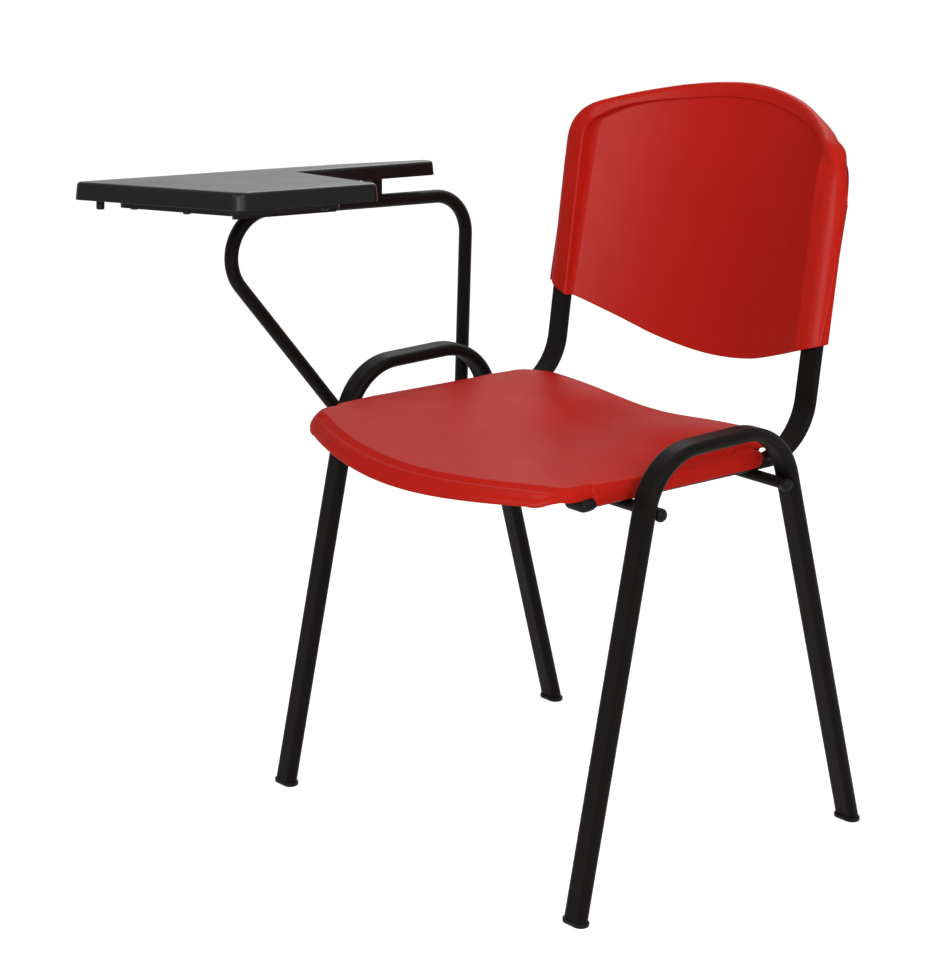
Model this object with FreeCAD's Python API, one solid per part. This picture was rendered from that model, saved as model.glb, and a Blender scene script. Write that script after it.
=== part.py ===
import FreeCAD, Part
import os
from math import asin, atan, cos, degrees, exp, hypot, radians, sin, tan

# Tablet arm chair. Millimetres, +Z up, the sitter faces -Y, +X is the sitter's left.
# The origin lies on the floor, midway between the four feet.

V = FreeCAD.Vector
X_AXIS = V(1, 0, 0)
Y_AXIS = V(0, 1, 0)
Z_AXIS = V(0, 0, 1)
SIDES = {"left": 1, "right": -1}

# Flat-oval steel tube of the legs
OVAL_WIDTH = 30.0
OVAL_HEIGHT = 15.0
OVAL_WALL = 1.5

# Side frames: an inverted U on each side, splayed a little towards the floor
LEG_X = 250.0
LEG_SPLAY = 0.57
BOW_Z = 498.0
BOW_FRONT_Y = -108.0
BOW_REAR_Y = 81.4
FOOT_Y = 216.5
FRONT_BEND = 70.0
REAR_BEND = 76.0
FOOT_HEAD = 5.0
FOOT_OVERHANG = 1.8
FOOT_LEAN_SPARE = 0.4
FOOT_ROUND = 1.2
FOOT_SPIGOT = 18.0

# Seat rails of flatter oval tube, each running on into a back upright
RAIL_WIDTH = 30.0
RAIL_HEIGHT = 9.0
RAIL_X = 204.7
RAIL_FRONT_Y = -174.0
RAIL_Z = 448.0
RAIL_Z_Y = -107.3
RAIL_SLOPE = -0.026
RAIL_BEND = 68.0
UPRIGHT_Y = 182.3
UPRIGHT_Z = 563.0
UPRIGHT_LEAN = 0.135
UPRIGHT_TOP = 712.0
PLUG_HEAD = 5.0
PLUG_OVERHANG = 1.5
PLUG_ROUND = 3.0
PLUG_SPIGOT = 16.0

# Round cross tubes under the rails
CROSS_RADIUS = 6.5
CROSS_WALL = 1.5
CROSS_LEFT = 259.0
CROSS_RIGHT = -268.0
FRONT_CROSS_Z = 437.4
REAR_CROSS_Z = 432.4
WELD_SINK = 0.4
CAP_LENGTH = 7.0
CAP_OVERHANG = 0.6
CAP_ROUND = 4.5
CAP_SPIGOT = 12.0
INSERT_SPIGOT = 20.0

# Seat shell
SEAT_THICK = 4.5
SEAT_LIP = 10.5
SEAT_LIP_THICK = 4.0
SEAT_REAR_Y = 146.0
SEAT_FRONT_Y = -261.0
SEAT_CORNER_Y = -212.0
SEAT_CORNER_BACK = 34.0
SEAT_CORNER_IN = 35.5
SEAT_CORNER_AHEAD = 12.0
SEAT_CORNER_BULGE = (9.0, 6.0)
SEAT_CORNER_TUCK = 0.8
SEAT_REAR_TURN = 42.0
SEAT_HALF_FRONT = 215.5
SEAT_HALF_REAR = 207.0
SEAT_RIM = [(-190.0, 470.9), (-95.0, 468.2), (0.0, 468.0), (55.0, 470.6), (95.0, 469.4), (146.0, 464.8)]
DISH_DEPTH = 14.0
DISH_DEEPEST_Y = 30.0
DISH_FRONT_EASE = 5.5
DISH_FRONT_RUN = 270.0
DISH_REAR_EASE = 3.7
DISH_REAR_RUN = 116.0
DISH_WIDTH = 112.5
DISH_TAPER = 0.1
NOSE_DROP = 10.0
NOSE_ROLL = 20.0
NOSE_POWER = 2.4
APRON_OUT = 222.5
APRON_NOSE = 218.0
APRON_FLARE_Y = -104.0
APRON_IN = 187.0
APRON_WALL = 3.5
APRON_FRONT_Y = -161.0
APRON_REAR_Y = 79.0
APRON_LOW_FRONT = 447.2
APRON_LOW_REAR = 443.0
APRON_TOP_FRONT = 469.6
APRON_TOP_REAR = 462.6
APRON_ROUND = 2.0
APRON_TURN_SPARE = 0.3
BOSS_RADIUS = 8.0

# Back shell
BACK_THICK = 4.5
BACK_CROWN_Y = 222.0
BACK_CROWN_Z = 515.0
BACK_LEAN = 0.235
BACK_PANEL_HALF = 188.0
BACK_SIDE_LEAN = 0.05
BACK_SIDE_Z = 613.0
BACK_RIM_Z = 673.0
BACK_HALF = 224.0
BACK_EDGE_TOP = [(0, 819.0), (45, 816.4), (90, 810.3), (126, 802.6), (150, 796.6), (172, 789.8), (192, 782.0),
                 (206, 773.0), (215, 762.5), (220.5, 749.5), (223, 736.0), (223.5, 720.0)]
BACK_CORNER = (BACK_HALF, 562.0)
BACK_EDGE_LOW = [(184, 552.2), (150, 539.5), (100, 522.8), (73, 515.8), (38, 510.2), (0, 508.0)]
RIM_WIDTH = 17.0
RIM_BEVEL = 9.0
RIM_RAISE = 2.2
SLEEVE_LOW = 540.0
SLEEVE_IN = 187.5
SLEEVE_OUT = 224.4
SLEEVE_FRONT = -15.0
SLEEVE_FLAT = 201.0
SLEEVE_CHEEK = (217.5, -10.1)
SLEEVE_SIDE = 1.8
SLEEVE_HEEL = (222.5, 6.2)
SLEEVE_HEEL_IN = 218.0
SLEEVE_REAR = 8.0
SLEEVE_REAR_TOP = 717.0
SLEEVE_BROW_Z = 742.0
SLEEVE_CREST = 9.0
SLEEVE_CREST_Z = 778.0

# Bent round tube that carries the tablet
ARM_X = -283.0
ARM_RADIUS = 8.0
ARM_WALL = 1.5
ARM_TILT = 3.7
ARM_AXIS_Z = 679.3
ARM_FRONT_BEND = 51.6
ARM_REAR_BEND = 50.0
ARM_TAIL = 14.0
ARM_PLUG_HEAD = 4.0
ARM_PLUG_OVERHANG = 0.8
ARM_PLUG_ROUND = 2.4
ARM_PLUG_SPIGOT = 6.0
ARM_DIAGONAL_Y = -243.0
ARM_DIAGONAL_Z = 604.5
ARM_POST_Y = 92.0
ARM_POST_Z = 616.0

# Writing tablet, in its own axes: u towards the sitter, v to the rear along the tube, n upwards
TABLET_ROLL = 3.4
TABLET_CORNERS = [(-20.8, -453, 6), (181, -379, 18), (183, -191.5, 8), (20, -183, 3), (10, 34, 5),
                  (-8, 34, 5), (-21, -84, 300), (-22.5, -228, 400)]
TABLET_TOP = 44.0
TABLET_PLATE = 3.5
TABLET_ROUND = 1.2
PLATE_UNDER = TABLET_TOP - TABLET_PLATE
TABLET_SKIRT = 19.5
ARM_SKIRT = 17.0
ARM_SKIRT_FROM = -180.5
SKIRT_WALL = 2.5
SKIRT_DRAFT = 6.0
COVER_CORNERS = [(-10, -406, 8), (140, -356, 10), (140, -208, 8), (11, -208, 4), (11, -119, 4),
                 (-10, -119, 4)]
COVER_BOTTOM = 14.0
COVER_WALL = 2.0
COVER_SCREWS = [(2.0, -389.0), (74.0, -370.0), (30.0, -222.0), (126.0, -222.0)]
COVER_BOSS = 5.0
HOUSING_LOW = -7.0
HOUSING_IN = 13.0
HOUSING_OUT = -12.0
HOUSING_REAR = -115.5
HOUSING_ROUND = 2.5
HOUSING_BORE_END = -202.0
HOUSING_FRONT = -262.0
HOUSING_CHEEK = 4.0
HOUSING_PLATE_LOW = 11.0
HOUSING_PLATE_OUT = -9.0
HOUSING_SCREWS = [(0.0, -188.0), (0.0, -134.0)]
HOUSING_FRONT_SCREW = (0.0, -250.0)
FRONT_BOSS_TOP = 22.0
BORE_PLAY = 0.05
SADDLE_PLAY = 0.3
SADDLE_FRONT = -60.0
SADDLE_REAR = -45.0
SADDLE_MIDDLE = (SADDLE_FRONT + SADDLE_REAR) / 2
SADDLE_HALF = 9.5
SADDLE_LOW = 3.0
SADDLE_TOP = 28.0
SADDLE_SEAT = 14.0
SADDLE_WELL = 4.2
SADDLE_STALK = 8.0
TURN_UP = 100.0
STOP_ANGLE = 195.0
STOP_V = -160.0
STOP_RADIUS = 2.0
STOP_SINK = 1.0
STOP_REACH = 10.8
STOP_PLAY = 0.3
STOP_SPARE = 0.6
BUMPER_PLACE = (-6.0, -428.0)
BUMPER_RADIUS = 4.5
BUMPER_ROUND = 1.5
BUMPER_LOW = 13.5
BUMPER_HIGH = 24.0
BUMPER_STEM = 2.5
BUMPER_STEM_TOP = 36.0
BUMPER_BOSS = 5.5

# Screws: head radius, head height, shank radius, shank length
SEAT_SCREW = (5.5, 3.2, 2.5, 19.0)
SEAT_SCREW_Y = (-60.0, 50.0)
BACK_SCREW = (5.0, 3.0, 2.5, 9.0)
BACK_SCREW_Z = 600.0
BACK_SCREW_SINK = 1.5
ARM_BOLT = (6.0, 4.0, 3.0, 36.0)
COVER_SCREW = (4.2, 2.4, 2.0, 18.0)
HOUSING_SCREW = (4.0, 2.2, 2.0, 6.5)
HOUSING_FRONT_SIZE = (4.0, 2.2, 2.0, 9.0)
SADDLE_SCREW = (4.0, 2.4, 2.0, 22.0)
HEAD_ROUND = 0.45

# How close the points lie that the moulded faces are drawn through
FACE_STEP = 20.0
FACE_FINE_STEP = 5.0
FACE_MARGIN = 14.5
SEAT_FINE_RUN = 60.0
BACK_COLUMN_STEP = 8.0
BACK_FINE_Z = 700.0
RIM_SAMPLES = 160
SLOT_STEPS = 12

# Lengths that only have to reach past the part they cut, and what picks out an end rim
FAR = 600.0
OVER = 1.0
RIM_PICK = 0.9
NEAR = 0.1


def smooth(value):
    """Eases from 0 to 1."""
    value = min(1.0, max(0.0, value))
    return value * value * (3 - 2 * value)


def stations(start, stop, step):
    """Even values from start to stop, about a step apart."""
    count = round((stop - start) / step)
    return [start + (stop - start) * i / count for i in range(count + 1)]


def rounded_wire(points, radii, closed=False):
    """Wire through the points, each corner turned at its own radius."""
    count = len(points)
    firsts, lasts, arcs = [], [], []
    for i, (point, radius) in enumerate(zip(points, radii)):
        if radius == 0:
            firsts.append(point)
            lasts.append(point)
            arcs.append(None)
            continue
        back = (points[i - 1] - point).normalize()
        ahead = (points[(i + 1) % count] - point).normalize()
        half = back.getAngle(ahead) / 2
        first = point + back * (radius / tan(half))
        last = point + ahead * (radius / tan(half))
        centre = point + (back + ahead).normalize() * (radius / sin(half))
        middle = centre + (point - centre).normalize() * radius
        firsts.append(first)
        lasts.append(last)
        arcs.append(Part.Arc(first, middle, last).toShape())
    edges = []
    for i in range(count):
        if arcs[i]:
            edges.append(arcs[i])
        if closed or i < count - 1:
            edges.append(Part.makeLine(lasts[i], firsts[(i + 1) % count]))
    return Part.Wire(edges)


def oval_wire(centre, along, across, width, height):
    """Flat-oval outline: width along one way, height along the other."""
    flat = along * ((width - height) / 2)
    tip = along * (width / 2)
    half = across * (height / 2)
    corners = [centre - flat - half, centre + flat - half, centre + flat + half, centre - flat + half]
    return Part.Wire([
        Part.makeLine(corners[0], corners[1]),
        Part.Arc(corners[1], centre + tip, corners[2]).toShape(),
        Part.makeLine(corners[2], corners[3]),
        Part.Arc(corners[3], centre - tip, corners[0]).toShape(),
    ])


def sweep(path, profile):
    return path.makePipeShell([profile], True, False)


def prism(wire, direction):
    return Part.Face(wire).extrude(direction)


def box(x0, x1, y0, y1, z0, z1):
    return Part.makeBox(x1 - x0, y1 - y0, z1 - z0, V(x0, y0, z0))


def rod(start, end, radius):
    axis = end - start
    return Part.makeCylinder(radius, axis.Length, start, axis)


def screw(start, direction, size):
    """Pan-head screw; start lies under the head, the shank runs along direction."""
    head_radius, head_height, shank_radius, shank_length = size
    head = rod(start, start - direction * head_height, head_radius)
    rim = [edge for edge in head.Edges if abs(edge.CenterOfMass.distanceToPoint(start) - head_height) < NEAR]
    head = head.makeFillet(head_height * HEAD_ROUND, rim)
    return head.fuse(rod(start, start + direction * shank_length, shank_radius)).removeSplitter()


def fuse_all(shapes):
    return shapes[0].multiFuse(shapes[1:]).removeSplitter()


def leg_path(side):
    x = side * LEG_X
    run = BOW_Z / (BOW_Z + FOOT_SPIGOT)
    front = V(x, BOW_FRONT_Y - (BOW_FRONT_Y + FOOT_Y) / run, -FOOT_SPIGOT)
    rear = V(x, BOW_REAR_Y + (FOOT_Y - BOW_REAR_Y) / run, -FOOT_SPIGOT)
    points = [front, V(x, BOW_FRONT_Y, BOW_Z), V(x, BOW_REAR_Y, BOW_Z), rear]
    return rounded_wire(points, [0, FRONT_BEND, REAR_BEND, 0])


def splayed(shape, side):
    shape.rotate(V(side * LEG_X, 0, BOW_Z), Y_AXIS, -side * LEG_SPLAY)
    return shape


def leg_solid(side, width, height):
    """Full flat-oval bar along the whole inverted U, running on below the floor."""
    path = leg_path(side)
    start = path.Vertexes[0].Point
    ahead = V(0, BOW_FRONT_Y + FOOT_Y, BOW_Z).normalize()
    return splayed(sweep(path, oval_wire(start, X_AXIS, X_AXIS.cross(ahead), width, height)), side)


def slab(y0, y1, z0, z1):
    """Block as wide as the chair and more."""
    return box(-FAR, FAR, y0, y1, z0, z1)


def across(y, z, radius):
    """Rod right through the chair from side to side."""
    return rod(V(-FAR, y, z), V(FAR, y, z), radius)


def leg_frame(side):
    tube = leg_solid(side, OVAL_WIDTH, OVAL_HEIGHT)
    tube = tube.cut(leg_solid(side, OVAL_WIDTH - 2 * OVAL_WALL, OVAL_HEIGHT - 2 * OVAL_WALL))
    tube = tube.common(slab(-FAR, FAR, FOOT_HEAD, FAR))
    for y, z in (FRONT_CROSS, REAR_CROSS):
        tube = tube.cut(across(y, z, CROSS_RADIUS))
    return tube


def foot_plug(side, front):
    """Plug with a flat head on the floor and a spigot up the inside of the leg."""
    bore = leg_solid(side, OVAL_WIDTH - 2 * OVAL_WALL, OVAL_HEIGHT - 2 * OVAL_WALL)
    ends = (-FAR, 0) if front else (0, FAR)
    spigot = bore.common(slab(*ends, FOOT_HEAD, FOOT_HEAD + FOOT_SPIGOT))
    bottom = spigot.Faces[0]
    for face in spigot.Faces:
        if face.CenterOfMass.z < bottom.CenterOfMass.z:
            bottom = face
    centre = V(bottom.CenterOfMass.x, bottom.CenterOfMass.y, 0)
    width = OVAL_WIDTH + 2 * FOOT_OVERHANG
    height = OVAL_HEIGHT + 2 * FOOT_OVERHANG + FOOT_LEAN_SPARE
    head = prism(oval_wire(centre, X_AXIS, Y_AXIS, width, height), Z_AXIS * FOOT_HEAD)
    rims = [edge for edge in head.Edges if edge.BoundBox.ZLength < NEAR]
    return head.makeFillet(FOOT_ROUND, rims).fuse(spigot)


def rail_height(y):
    return RAIL_Z + RAIL_SLOPE * (y - RAIL_Z_Y)


def upright_y(z):
    return UPRIGHT_Y + UPRIGHT_LEAN * (z - UPRIGHT_Z)


def rail_path(side):
    x = side * RAIL_X
    z = (rail_height(0) + RAIL_SLOPE * upright_y(0)) / (1 - RAIL_SLOPE * UPRIGHT_LEAN)
    front = V(x, RAIL_FRONT_Y, rail_height(RAIL_FRONT_Y))
    top = V(x, upright_y(UPRIGHT_TOP), UPRIGHT_TOP)
    return rounded_wire([front, V(x, upright_y(z), z), top], [0, RAIL_BEND, 0])


def rail_solid(side, shrink=0.0):
    start = V(side * RAIL_X, RAIL_FRONT_Y, rail_height(RAIL_FRONT_Y))
    ahead = V(0, 1, RAIL_SLOPE).normalize()
    profile = oval_wire(start, X_AXIS, X_AXIS.cross(ahead), RAIL_WIDTH - 2 * shrink, RAIL_HEIGHT - 2 * shrink)
    return sweep(rail_path(side), profile)


def seat_rail(side):
    tube = rail_solid(side).cut(rail_solid(side, OVAL_WALL))
    for y, z in (FRONT_CROSS, REAR_CROSS):
        tube = tube.cut(across(y, z, CROSS_RADIUS))
    for y in SEAT_SCREW_Y:
        tube = tube.cut(seat_screw(side, y))
    return tube.cut(back_screw(side))


def rail_plug(side):
    """Domed plug in the front end of a rail."""
    start = V(side * RAIL_X, RAIL_FRONT_Y, rail_height(RAIL_FRONT_Y))
    ahead = V(0, 1, RAIL_SLOPE).normalize()
    up = X_AXIS.cross(ahead)
    grow = 2 * PLUG_OVERHANG
    head = prism(oval_wire(start, X_AXIS, up, RAIL_WIDTH + grow, RAIL_HEIGHT + grow), ahead * -PLUG_HEAD)
    front_rim = [edge for edge in head.Edges if edge.CenterOfMass.y < RAIL_FRONT_Y - PLUG_HEAD * RIM_PICK]
    head = head.makeFillet(PLUG_ROUND, front_rim)
    bore = oval_wire(start, X_AXIS, up, RAIL_WIDTH - 2 * OVAL_WALL, RAIL_HEIGHT - 2 * OVAL_WALL)
    return head.fuse(prism(bore, ahead * PLUG_SPIGOT))


def cross_positions():
    """Cross-tube centres, each lying against the inner side of its pair of legs."""
    reach = OVAL_HEIGHT / 2 + CROSS_RADIUS - WELD_SINK
    front_lean = atan((BOW_FRONT_Y + FOOT_Y) / BOW_Z)
    rear_lean = atan((FOOT_Y - BOW_REAR_Y) / BOW_Z)
    front_y = -FOOT_Y + FRONT_CROSS_Z * tan(front_lean) + reach / cos(front_lean)
    rear_y = FOOT_Y - REAR_CROSS_Z * tan(rear_lean) - reach / cos(rear_lean)
    return (front_y, FRONT_CROSS_Z), (rear_y, REAR_CROSS_Z)


FRONT_CROSS, REAR_CROSS = cross_positions()


def cross_tube(y, z):
    ends = V(CROSS_RIGHT, y, z), V(CROSS_LEFT, y, z)
    return rod(*ends, CROSS_RADIUS).cut(rod(*ends, CROSS_RADIUS - CROSS_WALL))


def cross_cap(y, z):
    """Domed cap in the left end of a cross tube, relieved where it meets the leg."""
    head = rod(V(CROSS_LEFT, y, z), V(CROSS_LEFT + CAP_LENGTH, y, z), CROSS_RADIUS + CAP_OVERHANG)
    outer_rim = [edge for edge in head.Edges if edge.CenterOfMass.x > CROSS_LEFT + CAP_LENGTH * RIM_PICK]
    head = head.makeFillet(CAP_ROUND, outer_rim)
    relief = leg_solid(SIDES["left"], OVAL_WIDTH, OVAL_HEIGHT).cut(across(y, z, CROSS_RADIUS))
    head = head.cut(relief)
    return head.fuse(rod(V(CROSS_LEFT - CAP_SPIGOT, y, z), V(CROSS_LEFT, y, z), CROSS_RADIUS - CROSS_WALL))


def arm_insert(y, z):
    """Threaded plug in the right end of a cross tube, hollowed to seat the arm tube."""
    plug = rod(V(CROSS_RIGHT, y, z), V(ARM_X, y, z), CROSS_RADIUS)
    spigot_end = V(CROSS_RIGHT + INSERT_SPIGOT, y, z)
    plug = plug.fuse(rod(V(CROSS_RIGHT, y, z), spigot_end, CROSS_RADIUS - CROSS_WALL))
    return plug.cut(arm_solid(ARM_RADIUS)).cut(arm_bolt(y, z))


def arm_bolt(y, z):
    return screw(V(ARM_X - ARM_RADIUS, y, z), X_AXIS, ARM_BOLT)


def seat_rim_z(y):
    """Height of the seat's side rim: highest at the front corners and behind the hips."""
    y = min(max(y, SEAT_RIM[0][0]), SEAT_RIM[-1][0])
    for (y0, z0), (y1, z1) in zip(SEAT_RIM, SEAT_RIM[1:]):
        if y <= y1:
            return z0 + (z1 - z0) * smooth((y - y0) / (y1 - y0))


def front_gap(x, y):
    """Distance inside the bowed front edge."""
    reach = SEAT_HALF_FRONT - SEAT_CORNER_IN
    rise = SEAT_CORNER_Y - SEAT_CORNER_AHEAD - SEAT_FRONT_Y
    radius = (reach * reach + rise * rise) / (2 * rise)
    return radius - hypot(x, y - SEAT_FRONT_Y - radius)


def seat_z(x, y):
    """Upper face: dished across, rolling down along the front edge."""
    back = y - DISH_DEEPEST_Y
    ease, run = (DISH_FRONT_EASE, DISH_FRONT_RUN) if back < 0 else (DISH_REAR_EASE, DISH_REAR_RUN)
    depth = DISH_DEPTH - ease * (back / run) ** 2
    hollow = exp(-(x / (DISH_WIDTH - DISH_TAPER * y)) ** 2)
    fall = NOSE_DROP * max(0.0, 1 - front_gap(x, y) / NOSE_ROLL) ** NOSE_POWER
    return seat_rim_z(y) - depth * hollow - fall


def seat_face():
    """Upper face as one smooth surface, a little larger than the seat and closer sampled in front."""
    side = SEAT_HALF_FRONT + FACE_MARGIN
    columns = stations(-side, side, FACE_STEP)
    nose = SEAT_FRONT_Y + SEAT_FINE_RUN
    rows = stations(SEAT_FRONT_Y - FACE_MARGIN, nose - FACE_FINE_STEP, FACE_FINE_STEP)
    rows += stations(nose, SEAT_REAR_Y + FACE_MARGIN, FACE_STEP)
    grid = [[V(x, y, seat_z(x, y)) for y in rows] for x in columns]
    surface = Part.BSplineSurface()
    surface.interpolate(grid)
    return surface.toShape()


def seat_outline(inset=0.0):
    """Plan of the seat: straight sides, bowed front, rounded corners."""
    half_front = SEAT_HALF_FRONT - inset
    half_rear = SEAT_HALF_REAR - inset
    rear = SEAT_REAR_Y - inset
    corner = SEAT_CORNER_Y + inset * SEAT_CORNER_TUCK
    turn = SEAT_REAR_TURN - inset
    knee = turn * (1 - sin(radians(45)))
    bulge_in, bulge_back = SEAT_CORNER_BULGE
    path = [V(half_rear - turn, rear, 0), V(half_rear - knee, rear - knee, 0), V(half_rear, rear - turn, 0),
            V(half_front, corner + SEAT_CORNER_BACK, 0), V(half_front - bulge_in, corner + bulge_back, 0),
            V(half_front - SEAT_CORNER_IN, corner - SEAT_CORNER_AHEAD, 0)]
    other = [V(-point.x, point.y, 0) for point in path]
    edges = [Part.makeLine(other[0], path[0])]
    for points in (path, other):
        edges.append(Part.Arc(points[0], points[1], points[2]).toShape())
        edges.append(Part.makeLine(points[2], points[3]))
        edges.append(Part.Arc(points[3], points[4], points[5]).toShape())
    edges.append(Part.Arc(path[5], V(0, SEAT_FRONT_Y + inset, 0), other[5]).toShape())
    return Part.Wire(Part.__sortEdges__(edges))


def apron_plan(wall, reach):
    """Plan of the side wall less a wall thickness: flush with the rim in front, flaring out behind."""
    inner = APRON_IN - reach
    front = APRON_FRONT_Y - reach
    rear = FAR
    return [V(inner, front, 0), V(APRON_NOSE - wall, front, 0), V(APRON_OUT - wall, APRON_FLARE_Y, 0),
            V(APRON_OUT - wall, rear, 0), V(inner, rear, 0), V(inner, front, 0)]


def seat_apron(side):
    """Side wall that hides the rail, with a ledge up to the underside of the seat."""
    top = [APRON_TOP_FRONT, APRON_TOP_REAR]
    turn = (top[1] - APRON_LOW_REAR) / 2 - APRON_TURN_SPARE
    rear = APRON_REAR_Y + turn
    profile = [V(0, APRON_FRONT_Y, APRON_LOW_FRONT), V(0, rear, APRON_LOW_REAR), V(0, rear, top[1]),
               V(0, APRON_FRONT_Y, top[0])]
    outline = prism(rounded_wire(profile, [APRON_ROUND, turn, turn, APRON_ROUND], True), X_AXIS * FAR)
    wall = prism(Part.makePolygon(apron_plan(0, 0)), Z_AXIS * FAR).common(outline)
    ledge = Z_AXIS * APRON_WALL
    below = [V(0, -FAR, 0), V(0, FAR, 0), V(0, FAR, top[1]) - ledge, V(0, rear, top[1]) - ledge,
             V(0, APRON_FRONT_Y, top[0]) - ledge, V(0, -FAR, top[0]) - ledge, V(0, -FAR, 0)]
    hollow = prism(Part.makePolygon(apron_plan(APRON_WALL, OVER)), Z_AXIS * FAR)
    apron = wall.cut(hollow.common(prism(Part.makePolygon(below), X_AXIS * FAR)))
    return apron if side > 0 else apron.mirror(V(0, 0, 0), X_AXIS)


def seat_screw(side, y):
    """Screw up through a rail, square to its underside."""
    up = V(0, -RAIL_SLOPE, 1).normalize()
    return screw(V(side * RAIL_X, y, rail_height(y)) - up * (RAIL_HEIGHT / 2), up, SEAT_SCREW)


def seat_shell():
    face = seat_face()
    plan = prism(seat_outline(), Z_AXIS * FAR)
    core = prism(seat_outline(SEAT_LIP_THICK), Z_AXIS * FAR)
    sheet = face.extrude(Z_AXIS * -SEAT_THICK).common(plan)
    lip = face.extrude(Z_AXIS * -SEAT_LIP).common(plan.cut(core))
    shell = sheet.fuse(lip)
    below = face.extrude(Z_AXIS * -FAR)
    for side in SIDES.values():
        shell = shell.fuse(seat_apron(side).common(below))
        for y in SEAT_SCREW_Y:
            foot = V(side * RAIL_X, y, rail_height(y))
            boss = rod(foot, foot + Z_AXIS * FAR, BOSS_RADIUS).common(below)
            shell = shell.fuse(boss)
    for side in SIDES.values():
        shell = shell.cut(rail_solid(side))
        for y in SEAT_SCREW_Y:
            shell = shell.cut(seat_screw(side, y))
    return shell.removeSplitter()


def spline(points):
    curve = Part.BSplineCurve()
    curve.interpolate(points)
    return curve.toShape()


def top_edge():
    """Upper edge of the back in front view, drawn at Y = 0."""
    right = [V(-x, 0, z) for x, z in reversed(BACK_EDGE_TOP)]
    left = [V(x, 0, z) for x, z in BACK_EDGE_TOP[1:]]
    return spline(right + left)


def back_y(x, z, edge_points):
    """Front face: hollow across, flatter beside each upright, with a raised rim along the top edge."""
    crown = BACK_CROWN_Y + BACK_LEAN * (z - BACK_CROWN_Z)
    side = upright_y(z) + BACK_SIDE_LEAN * (z - BACK_SIDE_Z)
    rim = upright_y(z) + BACK_SIDE_LEAN * (z - BACK_RIM_Z)
    inner = min(abs(x) / BACK_PANEL_HALF, 1.0)
    share = max(0.0, (abs(x) - BACK_PANEL_HALF) / (BACK_HALF - BACK_PANEL_HALF))
    y = crown - (crown - side) * inner * inner + (rim - side) * share
    gap = min(point.distanceToPoint(V(x, 0, z)) for point in edge_points)
    over_edge = z > BACK_EDGE_TOP[0][1]
    rise = 1.0 if over_edge else (RIM_WIDTH - gap) / RIM_BEVEL
    return y - RIM_RAISE * smooth(rise)


def back_face():
    """Front face as one smooth surface, closer sampled towards the top edge."""
    side = BACK_HALF + FACE_MARGIN
    columns = stations(-side, side, BACK_COLUMN_STEP)
    rows = stations(BACK_EDGE_LOW[-1][1] - FACE_MARGIN, BACK_FINE_Z - FACE_STEP, FACE_STEP)
    rows += stations(BACK_FINE_Z, BACK_EDGE_TOP[0][1] + FACE_MARGIN, FACE_FINE_STEP)
    edge_points = top_edge().discretize(RIM_SAMPLES)
    grid = [[V(x, back_y(x, z, edge_points), z) for z in rows] for x in columns]
    surface = Part.BSplineSurface()
    surface.interpolate(grid)
    return surface.toShape()


def back_outline():
    """Front view of the back, drawn at Y = 0: arched top, bowed lower edge."""
    upper = top_edge()
    low = [V(x, 0, z) for x, z in BACK_EDGE_LOW] + [V(-x, 0, z) for x, z in reversed(BACK_EDGE_LOW[:-1])]
    left = V(BACK_CORNER[0], 0, BACK_CORNER[1])
    right = V(-BACK_CORNER[0], 0, BACK_CORNER[1])
    x, z = BACK_EDGE_TOP[-1]
    return Part.Wire([upper, Part.makeLine(V(x, 0, z), left), Part.makeLine(left, low[0]), spline(low),
                      Part.makeLine(low[-1], right), Part.makeLine(right, V(-x, 0, z))])


def sleeve_plan(side):
    """Section of the pocket round an upright: flat in front, rounded outwards, flat behind."""
    places = [(SLEEVE_IN, SLEEVE_REAR), (SLEEVE_IN, SLEEVE_FRONT), (SLEEVE_FLAT, SLEEVE_FRONT), SLEEVE_CHEEK,
              (SLEEVE_OUT, SLEEVE_SIDE), SLEEVE_HEEL, (SLEEVE_HEEL_IN, SLEEVE_REAR)]
    middle = upright_y(SLEEVE_LOW)
    spots = [V(side * x, middle + y, SLEEVE_LOW) for x, y in places]
    inner_rear, inner_front, flat, cheek, outer, heel, heel_in = spots
    return Part.Wire([Part.makeLine(inner_rear, inner_front), Part.makeLine(inner_front, flat),
                      Part.Arc(flat, cheek, outer).toShape(), Part.Arc(outer, heel, heel_in).toShape(),
                      Part.makeLine(heel_in, inner_rear)])


def back_sleeve(side, face):
    """Pocket that follows an upright: its front slants back to the panel at the top, its rear ends lower down."""
    rise = V(0, UPRIGHT_LEAN, 1) * (BACK_EDGE_TOP[0][1] - SLEEVE_LOW)
    block = prism(sleeve_plan(side), rise)
    brow = (upright_y(SLEEVE_BROW_Z) + SLEEVE_FRONT, SLEEVE_BROW_Z)
    crest = (upright_y(SLEEVE_CREST_Z) + SLEEVE_CREST, SLEEVE_CREST_Z)
    below = [(0, 0), (FAR, 0), (FAR, SLEEVE_CREST_Z), crest, brow, (0, SLEEVE_BROW_Z), (0, 0)]
    slant = prism(Part.makePolygon([V(-FAR, y, z) for y, z in below]), X_AXIS * (2 * FAR))
    ahead = block.common(face.extrude(Y_AXIS * -FAR)).common(slant)
    behind = block.common(box(-FAR, FAR, 0, FAR, 0, SLEEVE_REAR_TOP))
    return ahead.fuse(behind)


def back_screw(side):
    inward = V(0, -1, UPRIGHT_LEAN).normalize()
    centre = V(side * RAIL_X, upright_y(BACK_SCREW_Z), BACK_SCREW_Z)
    return screw(centre - inward * (SLEEVE_REAR - BACK_SCREW_SINK), inward, BACK_SCREW)


def back_shell():
    plan = prism(back_outline(), Y_AXIS * FAR)
    face = back_face()
    shell = face.extrude(Y_AXIS * BACK_THICK).common(plan)
    for side in SIDES.values():
        shell = shell.fuse(back_sleeve(side, face).common(plan))
    for side in SIDES.values():
        shell = shell.cut(rail_solid(side)).cut(back_screw(side))
    return shell.removeSplitter()


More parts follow.
